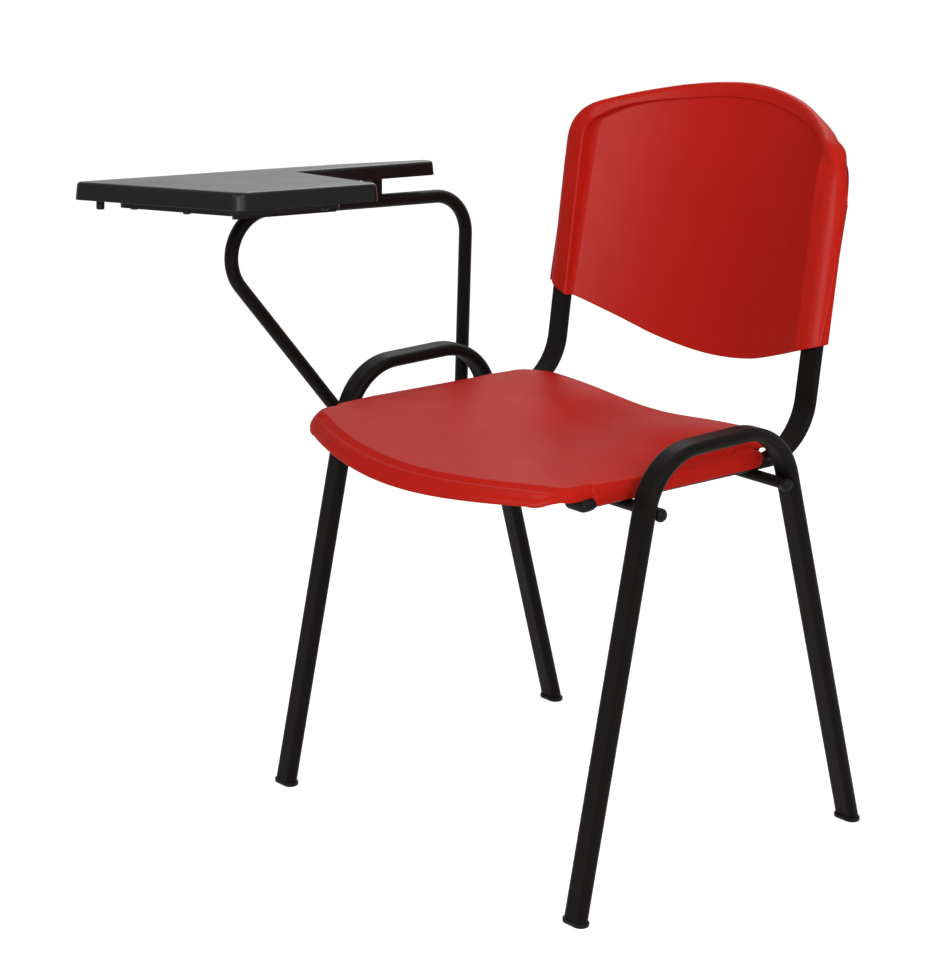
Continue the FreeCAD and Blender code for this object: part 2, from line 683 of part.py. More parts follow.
def arm_points():
    """Corner points of the bent arm tube, before the bends are rounded."""
    slope = tan(radians(ARM_TILT))
    front_y, front_z = FRONT_CROSS
    rear_y, rear_z = REAR_CROSS
    diagonal = (ARM_DIAGONAL_Y - front_y) / (ARM_DIAGONAL_Z - front_z)
    post = (ARM_POST_Y - rear_y) / (ARM_POST_Z - rear_z)
    nose_z = (ARM_AXIS_Z - slope * (front_y - diagonal * front_z)) / (1 + slope * diagonal)
    nose = V(ARM_X, front_y + diagonal * (nose_z - front_z), nose_z)
    heel_z = (ARM_AXIS_Z - slope * (rear_y - post * rear_z)) / (1 + slope * post)
    heel = V(ARM_X, rear_y + post * (heel_z - rear_z), heel_z)
    front_foot = V(ARM_X, front_y, front_z)
    rear_foot = V(ARM_X, rear_y, rear_z)
    front_foot += (front_foot - nose).normalize() * ARM_TAIL
    rear_foot += (rear_foot - heel).normalize() * ARM_TAIL
    return [front_foot, nose, heel, rear_foot]


def arm_solid(radius):
    points = arm_points()
    path = rounded_wire(points, [0, ARM_FRONT_BEND, ARM_REAR_BEND, 0])
    ring = Part.Wire(Part.Circle(points[0], points[1] - points[0], radius).toShape())
    return sweep(path, ring)


def arm_tube():
    tube = arm_solid(ARM_RADIUS).cut(arm_solid(ARM_RADIUS - ARM_WALL))
    for y, z in (FRONT_CROSS, REAR_CROSS):
        tube = tube.cut(arm_bolt(y, z))
    return tube.cut(stop_pin())


def arm_plug(end, beyond):
    """Round plug in a lower end of the arm tube."""
    outward = (end - beyond).normalize()
    tip = end + outward * ARM_PLUG_HEAD
    head = rod(end, tip, ARM_RADIUS + ARM_PLUG_OVERHANG)
    rim = [edge for edge in head.Edges if edge.CenterOfMass.distanceToPoint(tip) < NEAR]
    head = head.makeFillet(ARM_PLUG_ROUND, rim)
    return head.fuse(rod(end - outward * ARM_PLUG_SPIGOT, end, ARM_RADIUS - ARM_WALL))


def tablet_placement():
    """Place of the tablet's own axes: on the hinge line, tilted and rolled with it."""
    tilt = FreeCAD.Rotation(X_AXIS, -ARM_TILT)
    roll = FreeCAD.Rotation(Y_AXIS, -TABLET_ROLL)
    return FreeCAD.Placement(V(ARM_X, 0, ARM_AXIS_Z), tilt.multiply(roll))


def on_tablet(shape):
    """Moves a shape from the tablet's own axes to the chair."""
    shape.Placement = tablet_placement()
    return shape


def polar(angle, radius, v):
    """Point round the hinge line, in the tablet's own axes."""
    return V(radius * cos(radians(angle)), v, radius * sin(radians(angle)))


def stop_pin():
    """Pin set in the arm tube, standing into the slot of the hinge housing."""
    inner = polar(STOP_ANGLE, ARM_RADIUS - ARM_WALL - STOP_SINK, STOP_V)
    return on_tablet(rod(inner, polar(STOP_ANGLE, STOP_REACH, STOP_V), STOP_RADIUS))


def plan_wire(corners, n, grow=0.0):
    """Closed outline at height n, each corner given as u, v and radius."""
    wire = rounded_wire([V(u, v, n) for u, v, _ in corners], [radius for _, _, radius in corners], True)
    return wire.makeOffset2D(grow) if grow else wire


def tablet_body(top, bottom, inset):
    """Plan of the tablet between two heights, widening downwards by the skirt's draft."""
    draft = tan(radians(SKIRT_DRAFT))
    wires = [plan_wire(TABLET_CORNERS, n, draft * (TABLET_TOP - n) - inset) for n in (top, bottom)]
    return Part.makeLoft(wires, True, True)


def tablet_top():
    """Writing plate and arm rest in one moulding, open below."""
    bottom = TABLET_TOP - TABLET_SKIRT
    shell = tablet_body(TABLET_TOP, bottom, 0)
    top_edges = [edge for edge in shell.Edges if edge.BoundBox.ZMin > TABLET_TOP - NEAR]
    shell = shell.makeFillet(TABLET_ROUND, top_edges)
    shell = shell.cut(tablet_body(PLATE_UNDER, bottom - OVER, SKIRT_WALL))
    shell = shell.cut(slab(ARM_SKIRT_FROM, FAR, bottom - OVER, TABLET_TOP - ARM_SKIRT))
    root = PLATE_UNDER + OVER
    for u, v in COVER_SCREWS:
        shell = shell.fuse(rod(V(u, v, COVER_BOTTOM + COVER_WALL), V(u, v, root), COVER_BOSS))
        shell = shell.cut(cover_screw(u, v))
    u, v = BUMPER_PLACE
    shell = shell.fuse(rod(V(u, v, BUMPER_HIGH), V(u, v, root), BUMPER_BOSS)).cut(tablet_bumper())
    stalk = box(-SADDLE_STALK, SADDLE_STALK, SADDLE_FRONT + OVER, SADDLE_REAR - OVER, SADDLE_TOP, root)
    return shell.fuse(stalk).cut(saddle_screw()).removeSplitter()


def under_cover():
    """Tray screwed up under the writing part, with a narrow tail along the arm rest over the hinge."""
    tray = prism(plan_wire(COVER_CORNERS, COVER_BOTTOM), Z_AXIS * (PLATE_UNDER - COVER_BOTTOM))
    tray = tray.cut(prism(plan_wire(COVER_CORNERS, COVER_BOTTOM + COVER_WALL, -COVER_WALL), Z_AXIS * FAR))
    u, v = HOUSING_FRONT_SCREW
    tray = tray.fuse(rod(V(u, v, COVER_BOTTOM), V(u, v, FRONT_BOSS_TOP), COVER_BOSS)).removeSplitter()
    for u, v in COVER_SCREWS:
        tray = tray.cut(cover_screw(u, v))
    for fixing in housing_screws():
        tray = tray.cut(fixing)
    return tray


def cover_screw(u, v):
    return screw(V(u, v, COVER_BOTTOM), Z_AXIS, COVER_SCREW)


def housing_screws():
    """Two screws down from inside the tray's tail, one up from below in front."""
    floor = COVER_BOTTOM + COVER_WALL
    fixings = [screw(V(u, v, floor), -Z_AXIS, HOUSING_SCREW) for u, v in HOUSING_SCREWS]
    u, v = HOUSING_FRONT_SCREW
    fixings.append(screw(V(u, v, HOUSING_PLATE_LOW), Z_AXIS, HOUSING_FRONT_SIZE))
    return fixings


def hinge_housing():
    """Block bored for the arm tube, with a cheek and a top plate running on to the front."""
    block = box(HOUSING_OUT, HOUSING_IN, HOUSING_BORE_END, HOUSING_REAR, HOUSING_LOW, COVER_BOTTOM)
    rear_edge = [edge for edge in block.Edges
                 if edge.BoundBox.YMin > HOUSING_REAR - NEAR and edge.BoundBox.ZMax < COVER_BOTTOM - NEAR]
    block = block.makeFillet(HOUSING_ROUND, rear_edge)
    run = (HOUSING_FRONT, HOUSING_BORE_END)
    cheek = box(HOUSING_IN - HOUSING_CHEEK, HOUSING_IN, *run, HOUSING_LOW, COVER_BOTTOM)
    plate = box(HOUSING_PLATE_OUT, HOUSING_IN, *run, HOUSING_PLATE_LOW, COVER_BOTTOM)
    housing = fuse_all([block, cheek, plate])
    bore_ends = V(0, HOUSING_BORE_END - OVER, 0), V(0, HOUSING_REAR + OVER, 0)
    housing = housing.cut(rod(*bore_ends, ARM_RADIUS + BORE_PLAY))
    housing = housing.cut(stop_slot())
    for fixing in housing_screws():
        housing = housing.cut(fixing)
    return housing


def stop_slot():
    """Arc slot that lets the stop pin pass over the whole turn."""
    spare = degrees(asin((STOP_RADIUS + STOP_PLAY) / ARM_RADIUS)) + STOP_SPARE
    first = STOP_ANGLE - TURN_UP - spare
    span = TURN_UP + 2 * spare
    half = STOP_RADIUS + STOP_PLAY
    reach = STOP_REACH + STOP_RADIUS
    rim = [polar(angle, reach, STOP_V - half) for angle in stations(first, first + span, span / SLOT_STEPS)]
    wire = Part.makePolygon([V(0, STOP_V - half, 0)] + rim + [V(0, STOP_V - half, 0)])
    return prism(wire, Y_AXIS * (2 * half))


def rear_saddle():
    """Half-round rest under the arm, sitting over the tube."""
    block = box(-SADDLE_HALF, SADDLE_HALF, SADDLE_FRONT, SADDLE_REAR, SADDLE_LOW, SADDLE_TOP)
    groove = rod(V(0, SADDLE_FRONT - OVER, 0), V(0, SADDLE_REAR + OVER, 0), ARM_RADIUS + SADDLE_PLAY)
    well = rod(V(0, SADDLE_MIDDLE, 0), V(0, SADDLE_MIDDLE, SADDLE_SEAT), SADDLE_WELL)
    return block.cut(groove).cut(well).cut(saddle_screw())


def saddle_screw():
    return screw(V(0, SADDLE_MIDDLE, SADDLE_SEAT), Z_AXIS, SADDLE_SCREW)


def tablet_bumper():
    """Rubber stud under the front outer corner."""
    u, v = BUMPER_PLACE
    stud = rod(V(u, v, BUMPER_LOW), V(u, v, BUMPER_HIGH), BUMPER_RADIUS)
    rim = [edge for edge in stud.Edges if edge.BoundBox.ZMax < BUMPER_LOW + NEAR]
    stem = rod(V(u, v, BUMPER_HIGH), V(u, v, BUMPER_STEM_TOP), BUMPER_STEM)
    return stud.makeFillet(BUMPER_ROUND, rim).fuse(stem)


def build():
    """All nodes of the chair, by name."""
    parts = {}
    for name, side in SIDES.items():
        parts[name + "_leg_frame"] = leg_frame(side)
        parts[name + "_seat_rail"] = seat_rail(side)
        parts["front_" + name + "_foot"] = foot_plug(side, True)
        parts["rear_" + name + "_foot"] = foot_plug(side, False)
        parts[name + "_rail_plug"] = rail_plug(side)
    crossings = (FRONT_CROSS, REAR_CROSS)
    parts["front_cross_tube"] = cross_tube(*FRONT_CROSS)
    parts["rear_cross_tube"] = cross_tube(*REAR_CROSS)
    parts["cross_tube_caps"] = Part.makeCompound([cross_cap(*place) for place in crossings])
    parts["arm_mount_inserts"] = Part.makeCompound([arm_insert(*place) for place in crossings])
    parts["arm_bolts"] = Part.makeCompound([arm_bolt(*place) for place in crossings])
    parts["seat_shell"] = seat_shell()
    seat_fixings = [seat_screw(side, y) for side in SIDES.values() for y in SEAT_SCREW_Y]
    parts["seat_screws"] = Part.makeCompound(seat_fixings)
    parts["back_shell"] = back_shell()
    parts["back_screws"] = Part.makeCompound([back_screw(side) for side in SIDES.values()])
    ends = arm_points()
    parts["arm_tube"] = arm_tube()
    parts["arm_tube_plugs"] = Part.makeCompound([arm_plug(ends[0], ends[1]), arm_plug(ends[3], ends[2])])
    parts["hinge_stop_pin"] = stop_pin()
    parts["tablet_top"] = on_tablet(tablet_top())
    parts["under_cover"] = on_tablet(under_cover())
    parts["hinge_housing"] = on_tablet(hinge_housing())
    parts["rear_saddle"] = on_tablet(rear_saddle())
    parts["cover_screws"] = on_tablet(Part.makeCompound([cover_screw(u, v) for u, v in COVER_SCREWS]))
    parts["housing_screws"] = on_tablet(Part.makeCompound(housing_screws()))
    parts["saddle_screw"] = on_tablet(saddle_screw())
    parts["tablet_bumper"] = on_tablet(tablet_bumper())
    return parts


os.makedirs("parts", exist_ok=True)
for node, shape in build().items():
    shape.exportStep("parts/" + node + ".step")
    print(node, len(shape.Solids), round(shape.Volume), shape.isValid())
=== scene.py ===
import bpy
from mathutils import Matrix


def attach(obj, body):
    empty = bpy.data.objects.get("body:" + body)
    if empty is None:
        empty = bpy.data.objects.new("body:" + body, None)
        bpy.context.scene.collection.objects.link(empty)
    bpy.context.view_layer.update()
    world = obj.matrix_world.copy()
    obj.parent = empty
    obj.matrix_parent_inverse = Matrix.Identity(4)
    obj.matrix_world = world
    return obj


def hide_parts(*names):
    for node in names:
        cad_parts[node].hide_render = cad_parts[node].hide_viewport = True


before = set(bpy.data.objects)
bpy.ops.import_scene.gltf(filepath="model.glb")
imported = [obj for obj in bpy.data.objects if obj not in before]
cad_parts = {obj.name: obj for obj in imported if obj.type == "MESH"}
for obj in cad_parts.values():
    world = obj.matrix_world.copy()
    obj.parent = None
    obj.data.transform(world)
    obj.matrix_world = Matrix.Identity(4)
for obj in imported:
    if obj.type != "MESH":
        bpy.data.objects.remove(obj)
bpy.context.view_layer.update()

from math import atan2, cos, exp, hypot, pi, radians, sin, sqrt, tan

import bmesh
import bpy
from bpy.props import FloatProperty, FloatVectorProperty, PointerProperty
from mathutils import Matrix, Vector

bl_info = {
    "name": "Tablet Arm Chair",
    "version": (1, 0, 0),
    "blender": (4, 5, 0),
    "location": "View3D > Sidebar > Chair",
    "description": "Moulded shells, coated tubes and finishes for a stacking chair with a writing tablet",
    "category": "Object",
}

MM = 0.001


def linear(code):
    """Linear colour of an sRGB hex value."""
    channels = [int(code[i:i + 2], 16) / 255 for i in (1, 3, 5)]
    return tuple(c / 12.92 if c <= 0.04045 else ((c + 0.055) / 1.055) ** 2.4 for c in channels)


def length(name, description, default):
    """Length property."""
    return FloatProperty(name=name, description=description, default=default, unit="LENGTH", precision=5)


def colour(name, description, code):
    """Colour property, given as sRGB hex."""
    return FloatVectorProperty(name=name, description=description, default=linear(code), subtype="COLOR",
                               min=0.0, max=1.0)


def share(name, description, default):
    """Property from nought to one."""
    return FloatProperty(name=name, description=description, default=default, min=0.0, max=1.0,
                         subtype="FACTOR")


class ChairSizes(bpy.types.PropertyGroup):
    """Sizes of the mouldings that the solids leave sharp or plain."""
    seat_thickness: length("Seat thickness", "Wall of the seat moulding", 4.5 * MM)
    seat_lip: length("Seat lip", "Depth of the turned-down edge of the seat", 10.5 * MM)
    seat_lip_wall: length("Lip wall", "Thickness of the turned-down edge", 4.0 * MM)
    seat_corner_lip: length("Corner lip", "Extra depth of the lip behind the front corners", 5.0 * MM)
    seat_nose_lip: length("Nose lip", "Extra depth of the lip in the middle of the front", 3.2 * MM)
    seat_roll_front: length("Front roll", "Width of the rolled front edge of the seat", 20.0 * MM)
    seat_roll_side: length("Side roll", "Width of the rolled side edges of the seat", 6.5 * MM)
    seat_crease: FloatProperty(name="Seat crease", default=radians(28), subtype="ANGLE",
                               description="Turn of the surface where the edge starts to roll")
    apron_wall: length("Apron wall", "Thickness of the side walls under the seat", 3.5 * MM)
    back_thickness: length("Back thickness", "Wall of the back moulding", 4.5 * MM)
    back_rim_raise: length("Rim height", "How far the band stands forward in the middle", 2.2 * MM)
    back_corner_raise: length("Corner height", "How much more it stands forward at the corners", 9.5 * MM)
    back_pocket_raise: length("Pocket depth", "How far a pocket stands forward of its upright", 12.0 * MM)
    back_wall_fillet: length("Pocket fillet", "Hollow turn from the panel on to a pocket", 5.0 * MM)
    back_wall_edge: length("Pocket edge", "Rounded front edge of a pocket's inner wall", 3.0 * MM)
    back_top_round: length("Top rounding", "Rounding of the upper edge of the back", 7.0 * MM)
    back_low_round: length("Lower rounding", "Rounding of the lower edge of the back", 1.6 * MM)
    moulding_edge: length("Moulding edges", "Softened edges of the pieces under the tablet", 1.2 * MM)
    tablet_edge: length("Tablet edge", "Radius of the tablet's upper edge", 4.5 * MM)
    plug_edge: length("Plug edges", "Softened edges of feet and plugs", 0.6 * MM)


class ChairFinishes(bpy.types.PropertyGroup):
    """Colours and surfaces of the real materials."""
    shell: colour("Shell", "Red of the seat and back mouldings", "#B92015")
    shell_gloss: share("Shell roughness", "Satin of the moulded shells", 0.42)
    tube: colour("Tube", "Warm black of the powder coat", "#110E0D")
    tube_gloss: share("Tube roughness", "Satin of the powder coat", 0.46)
    tablet: colour("Tablet", "Black of the tablet mouldings", "#070707")
    tablet_gloss: share("Tablet roughness", "Satin of the tablet mouldings", 0.34)
    plug: colour("Plugs", "Black of feet and end plugs", "#0D0C0C")
    screw: colour("Screws", "Grey of blackened steel", "#3A3836")
    rubber: colour("Rubber", "Black of the bumper", "#121212")


class ChairStudio(bpy.types.PropertyGroup):
    """Floor and camera."""
    floor: colour("Floor", "Pale studio floor", "#F4F3F1")
    lens: FloatProperty(name="Lens", default=104.41,
                        description="Focal length of the camera in millimetres")
    camera: FloatVectorProperty(name="Camera", description="Camera position", subtype="TRANSLATION",
                                default=(2.2488, -2.0880, 1.3117), unit="LENGTH")
    camera_ahead: FloatVectorProperty(name="Camera direction", description="Way the camera looks",
                                      subtype="DIRECTION", default=(-0.7252, 0.6257, -0.2875))


# Shared makers

WELD_REACH = 0.002 * MM
BEVEL_SEGMENTS = 2
BEVEL_ANGLE = radians(35)


def add(tree, kind, inputs=None, **settings):
    """Adds a node; inputs holds a value or another node's output for each socket."""
    node = tree.nodes.new(kind)
    for key, value in settings.items():
        setattr(node, key, value)
    for key, value in (inputs or {}).items():
        if isinstance(value, bpy.types.NodeSocket):
            tree.links.new(value, node.inputs[key])
        else:
            node.inputs[key].default_value = value
    return node


def dress(material, nodes, edge=0.0):
    """Gives CAD nodes their material and, with an edge width, softens their hard edges."""
    for name in nodes:
        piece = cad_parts[name]
        for slot in piece.material_slots:
            slot.material = material
        if edge:
            # The faces of a CAD mesh share no points, so a bevel needs them joined first
            piece.modifiers.new("joined_faces", "WELD").merge_threshold = WELD_REACH
            bevel = piece.modifiers.new("softened_edges", "BEVEL")
            bevel.width, bevel.segments, bevel.angle_limit = edge, BEVEL_SEGMENTS, BEVEL_ANGLE
            bevel.harden_normals = True


def new_piece(name, body, slot_name, material, replaced, vertices, faces):
    """Adds a mesh given in millimetres, which rides on a body in place of a CAD node."""
    mesh = bpy.data.meshes.new(name)
    mesh.from_pydata([Vector(v) * MM for v in vertices], [], faces)
    mesh.materials.append(material)
    work = bmesh.new()
    work.from_mesh(mesh)
    bmesh.ops.recalc_face_normals(work, faces=work.faces)
    work.to_mesh(mesh)
    work.free()
    for polygon in mesh.polygons:
        polygon.use_smooth = True
    piece = bpy.data.objects.new(name, mesh)
    bpy.context.scene.collection.objects.link(piece)
    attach(piece, body)
    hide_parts(replaced)


def clamp(value, low=0.0, high=1.0):
    return min(high, max(low, value))


def smooth(value):
    """Nought to one with soft ends."""
    value = clamp(value)
    return value * value * (3 - 2 * value)


def eased(value, span):
    """Nought before a span, given as its start and width, and one after it."""
    start, width = span
    return smooth((value - start) / width)


def mix(a, b, t):
    return a + (b - a) * t


def steps_between(first, last, count):
    """Values after the first in equal steps, up to the last."""
    return [mix(first, last, i / count) for i in range(1, count + 1)]


def blend(first, second, t):
    """Profile part of the way from one to the other, point by point."""
    return [(mix(a[0], b[0], t), mix(a[1], b[1], t)) for a, b in zip(first, second)]


def soft_max(a, b, width):
    """Larger of two values, with the corner between them rounded."""
    near = max(0.0, width - abs(a - b)) / width
    return max(a, b) + near * near * width / 4


def rounding(radius, inset):
    """Depth that a rounded edge takes away this far in from it."""
    short = max(0.0, radius - inset)
    return radius - sqrt(max(0.0, radius * radius - short * short))


def turns(sides, start=0.0):
    """Angles once round, in equal steps."""
    return [(i + start) * 2 * pi / sides for i in range(sides)]


def circle(u, v, radius, sides):
    return [(u + radius * cos(angle), v + radius * sin(angle)) for angle in turns(sides)]


def ring_faces(rows, count):
    """Quads between closed rings of points, each ring count long."""
    faces = []
    for r in range(rows - 1):
        for i in range(count):
            j = (i + 1) % count
            faces.append((r * count + i, r * count + j, (r + 1) * count + j, (r + 1) * count + i))
    return faces


def capped(vertices, count):
    """Skin over rings of count points, closed at both ends."""
    rows = len(vertices) // count
    ends = [list(range(count)), list(range((rows - 1) * count, rows * count))]
    return vertices, ring_faces(rows, count) + ends


def joined(parts):
    """One mesh of several, each given as its points and faces."""
    vertices, faces = [], []
    for points, skin in parts:
        faces += [[v + len(vertices) for v in face] for face in skin]
        vertices += points
    return vertices, faces


def arc_through(first, middle, last, steps):
    """Points of the arc through three others, without the last."""
    (ax, ay), (bx, by), (cx, cy) = first, middle, last
    d = 2 * (ax * (by - cy) + bx * (cy - ay) + cx * (ay - by))
    a2, b2, c2 = ax * ax + ay * ay, bx * bx + by * by, cx * cx + cy * cy
    ox = (a2 * (by - cy) + b2 * (cy - ay) + c2 * (ay - by)) / d
    oy = (a2 * (cx - bx) + b2 * (ax - cx) + c2 * (bx - ax)) / d
    radius = hypot(ax - ox, ay - oy)
    start = atan2(ay - oy, ax - ox)
    turn = atan2(cy - oy, cx - ox) - start
    mid = atan2(by - oy, bx - ox) - start
    turn = (turn + pi) % (2 * pi) - pi
    mid = (mid + pi) % (2 * pi) - pi
    if mid * turn < 0:
        turn -= 2 * pi * (1 if turn > 0 else -1)
    angles = [start + turn * i / steps for i in range(steps)]
    return [(ox + radius * cos(angle), oy + radius * sin(angle)) for angle in angles]


def outward(points):
    """Unit normals of a closed plan outline, pointing out of it."""
    normals = []
    for (x0, y0), (x1, y1) in zip(points[-1:] + points[:-1], points[1:] + points[:1]):
        size = hypot(x1 - x0, y1 - y0)
        normals.append(((y1 - y0) / size, (x0 - x1) / size))
    return normals


# Seat: plan and heights in millimetres, as in the solids

SEAT_REAR, SEAT_FRONT = 146.0, -261.0
SEAT_CORNER = [(215.5, -178.0), (206.5, -206.0), (180.0, -224.0)]
SEAT_HEEL = [(165.0, 146.0), (194.7, 133.7), (207.0, 104.0)]
SEAT_RIM = [(-190.0, 470.9), (-95.0, 468.2), (0.0, 468.0), (55.0, 470.6), (95.0, 469.4), (146.0, 464.8)]
SEAT_MIDDLE = -55
# Hollow of the seat: depth, width and middle, and how it eases to the front and rear
DISH_DEPTH, DISH_WIDTH, DISH_TAPER, DISH_MIDDLE = 14.0, 112.5, 0.1, 30.0
DISH_FRONT, DISH_REAR = (5.5, 270.0), (3.7, 116.0)
NOSE_RADIUS, NOSE_DROP, NOSE_ROLL, NOSE_POWER = 456.3, 10.0, 20.0, 2.4
NOSE_HALF, NOSE_LIP_LOSS, NOSE_LIP_FADE = 190.0, 4.7, (0.3, 0.5)
CORNER_LIP_FROM, CORNER_LIP_EASE = -100.0, 50.0
# Side walls, with their values at the front and the rear
APRON_FRONT, APRON_REAR, APRON_END, APRON_FLARE = -161.0, 79.0, 88.5, -104.0
APRON_SHOULDER, APRON_OUTER = (216.0, 222.5), (220.4, 222.5)
APRON_TOP, APRON_LOW = (469.6, 462.6), (447.2, 443.0)
APRON_NOSE = 2.0
APRON_LEAD = (-173.0, -168.0, -164.0, -162.0, -161.4, -160.9, -160.5, -160.0, -159.3, -158.5, -156.0)
TAIL_LENGTH, TAIL_DROP, TAIL_SPREAD = 15.0, 14, 4
SIDEWAYS = 0.97
ROLL_STEPS = (0.0, 0.04, 0.12, 0.22, 0.32, 0.42, 0.52, 0.63, 0.75, 0.87, 1.0)
ROLL_LEAST = 0.02
CROWN_SCALES = (0.03, 0.12, 0.24, 0.38, 0.52, 0.66, 0.8, 0.91)
CROWN_INSETS = (12.0, 8.0, 5.0, 2.5, 0.8)
RAIL_X, RAIL_Z, RAIL_FALL, RAIL_FROM = 204.7, 448.0, 0.026, 107.3
BOSS_RADIUS, BOSS_SIDES, BOSS_LOW, BOSS_SINK = 8.0, 24, 4.5, 0.5
BOSS_PLACES = [(x, y) for x in (-RAIL_X, RAIL_X) for y in (-60.0, 50.0)]


def rim_height(y):
    """Height of the seat's rim, eased from place to place."""
    for (y0, z0), (y1, z1) in zip(SEAT_RIM, SEAT_RIM[1:]):
        if y < y1:
            return mix(z0, z1, smooth((y - y0) / (y1 - y0)))
    return SEAT_RIM[-1][1]


def seat_height(x, y):
    """Crown of the seat before its edge rolls over."""
    back = y - DISH_MIDDLE
    rise, run = DISH_FRONT if back < 0 else DISH_REAR
    ease = rise * (back / run) ** 2
    return rim_height(y) - (DISH_DEPTH - ease) * exp(-(x / (DISH_WIDTH - DISH_TAPER * y)) ** 2)


def nose_fall(x, y):
    """How far the rolled front has dropped at a place of the outline."""
    gap = NOSE_RADIUS - hypot(x, y - SEAT_FRONT - NOSE_RADIUS)
    return NOSE_DROP * max(0.0, 1 - gap / NOSE_ROLL) ** NOSE_POWER


def seat_plan():
    """Left half of the outline from the front middle round to the rear middle, then the right half."""
    corner, nose = SEAT_CORNER[0], SEAT_CORNER[2]
    bow = SEAT_FRONT + NOSE_RADIUS - sqrt(NOSE_RADIUS ** 2 - nose[0] ** 2 / 4)
    half = arc_through((0.0, SEAT_FRONT), (nose[0] / 2, bow), nose, 36)
    half += arc_through(nose, SEAT_CORNER[1], corner, 24)
    (x0, y0), (x1, y1) = corner, SEAT_HEEL[2]
    stops = [y0, *APRON_LEAD]
    stops += [APRON_FRONT + 10 + 6.0 * i for i in range(38)]
    stops += [APRON_REAR - 1 + 0.8 * i for i in range(12)]
    stops += [APRON_END + further for further in (-0.3, 0.3, 2, 6)]
    half += [(mix(x0, x1, (y - y0) / (y1 - y0)), y) for y in sorted(stops) if y < y1 - 0.5]
    half += arc_through(SEAT_HEEL[2], SEAT_HEEL[1], SEAT_HEEL[0], 16)
    half += [(SEAT_HEEL[0][0] * (1 - i / 20), SEAT_REAR) for i in range(20)]
    half.append((0.0, SEAT_REAR))
    return half + [(-x, y) for x, y in reversed(half[1:-1])]


def apron_state(y):
    """How much of the side wall stands at y, its shoulder and outer face, and its top and bottom."""
    weight = smooth((y - APRON_FRONT + 0.4) / 0.4) * smooth((APRON_END + 0.3 - y) / 0.5)
    lead = clamp((y - APRON_FRONT) / (APRON_FLARE - APRON_FRONT))
    along = clamp((y - APRON_FRONT) / (APRON_END - APRON_FRONT))
    top, low = mix(*APRON_TOP, along), mix(*APRON_LOW, along)
    nose = clamp(APRON_NOSE - (y - APRON_FRONT), 0.0, APRON_NOSE)
    low += APRON_NOSE - sqrt(APRON_NOSE ** 2 - nose * nose)
    if y > APRON_REAR:
        turn = min(1.0, (y - APRON_REAR) / (APRON_END - APRON_REAR))
        shrink = (top - low) / 2 * (1 - sqrt(1 - turn * turn))
        top, low = top - shrink, low + shrink
    return weight, mix(*APRON_SHOULDER, lead), mix(*APRON_OUTER, lead), top, low


def lip_depth(x, y, sizes):
    """Depth of the turned-down edge: more behind the front corners and in the middle of the front."""
    fall = nose_fall(x, y)
    nose = fall / NOSE_DROP
    behind = max(0.0, 1 - 3 * nose) * smooth((CORNER_LIP_FROM - y) / CORNER_LIP_EASE)
    middle = sizes.seat_nose_lip / MM - NOSE_LIP_LOSS * (x / NOSE_HALF) ** 2
    lip = sizes.seat_lip / MM + fall + sizes.seat_corner_lip / MM * behind
    return lip + middle * eased(nose, NOSE_LIP_FADE)


def plain_lip(base, low, wall, under, tail):
    """Turned-down edge where no side wall stands; tail deepens it behind the wall's rear end."""
    lip = [(0, mix(low, base, t)) for t in (0.08, 0.16, 0.24, 0.32, 0.4)]
    lip += [(0, base + 1.0), (-0.3, base + 0.3), (-1.0, base)]
    inside = [(-wall + 0.8, base), (-wall, base + 0.8), (-wall, under[1] - 1.0)]
    deep = base - TAIL_DROP * tail
    behind = [(-wall - 1, base), (-wall - 1.2, deep), (-wall - TAIL_SPREAD, deep)]
    return lip + blend(inside, behind, min(1.0, 2 * tail)) + [under]


def side_wall(x, base, meeting, under, apron, wall):
    """Side wall from where the roll meets it, and how far the lip hangs clear of its top."""
    tip, level = meeting
    _, shoulder, outer, top, floor = apron
    brim, step = shoulder - abs(x), outer - abs(x)
    inner = step - wall
    ledge = max(floor + 1.2, min(top - wall, under[1]))
    waist = max((top + floor) / 2, floor + 1.5)
    crown = max(top, waist)
    over = [(mix(tip, brim, 0.15), level), (mix(tip, brim, 0.35), mix(level, top, 0.6)),
            (max(brim - 1.8, mix(tip, brim, 0.4)), crown), (brim - 0.6, max(top - 0.4, waist)),
            (brim - 0.1, max(top - 1.2, waist)), (step, min(waist + 2.0, max(top - 2.2, waist)))]
    recess = [(0, base + 0.8), (-0.8, base), (-5.0, base), (-5.0, crown), (brim - 0.8, crown),
              (brim, max(top - 0.8, waist))]
    clear = smooth((base - top + 2.0) / 5.0)
    below = [(step, floor + 1.0), (step - 0.8, floor), (inner + 0.8, floor), (inner, floor + 0.6),
             (inner, ledge), under]
    return blend(over, recess, clear) + below, clear


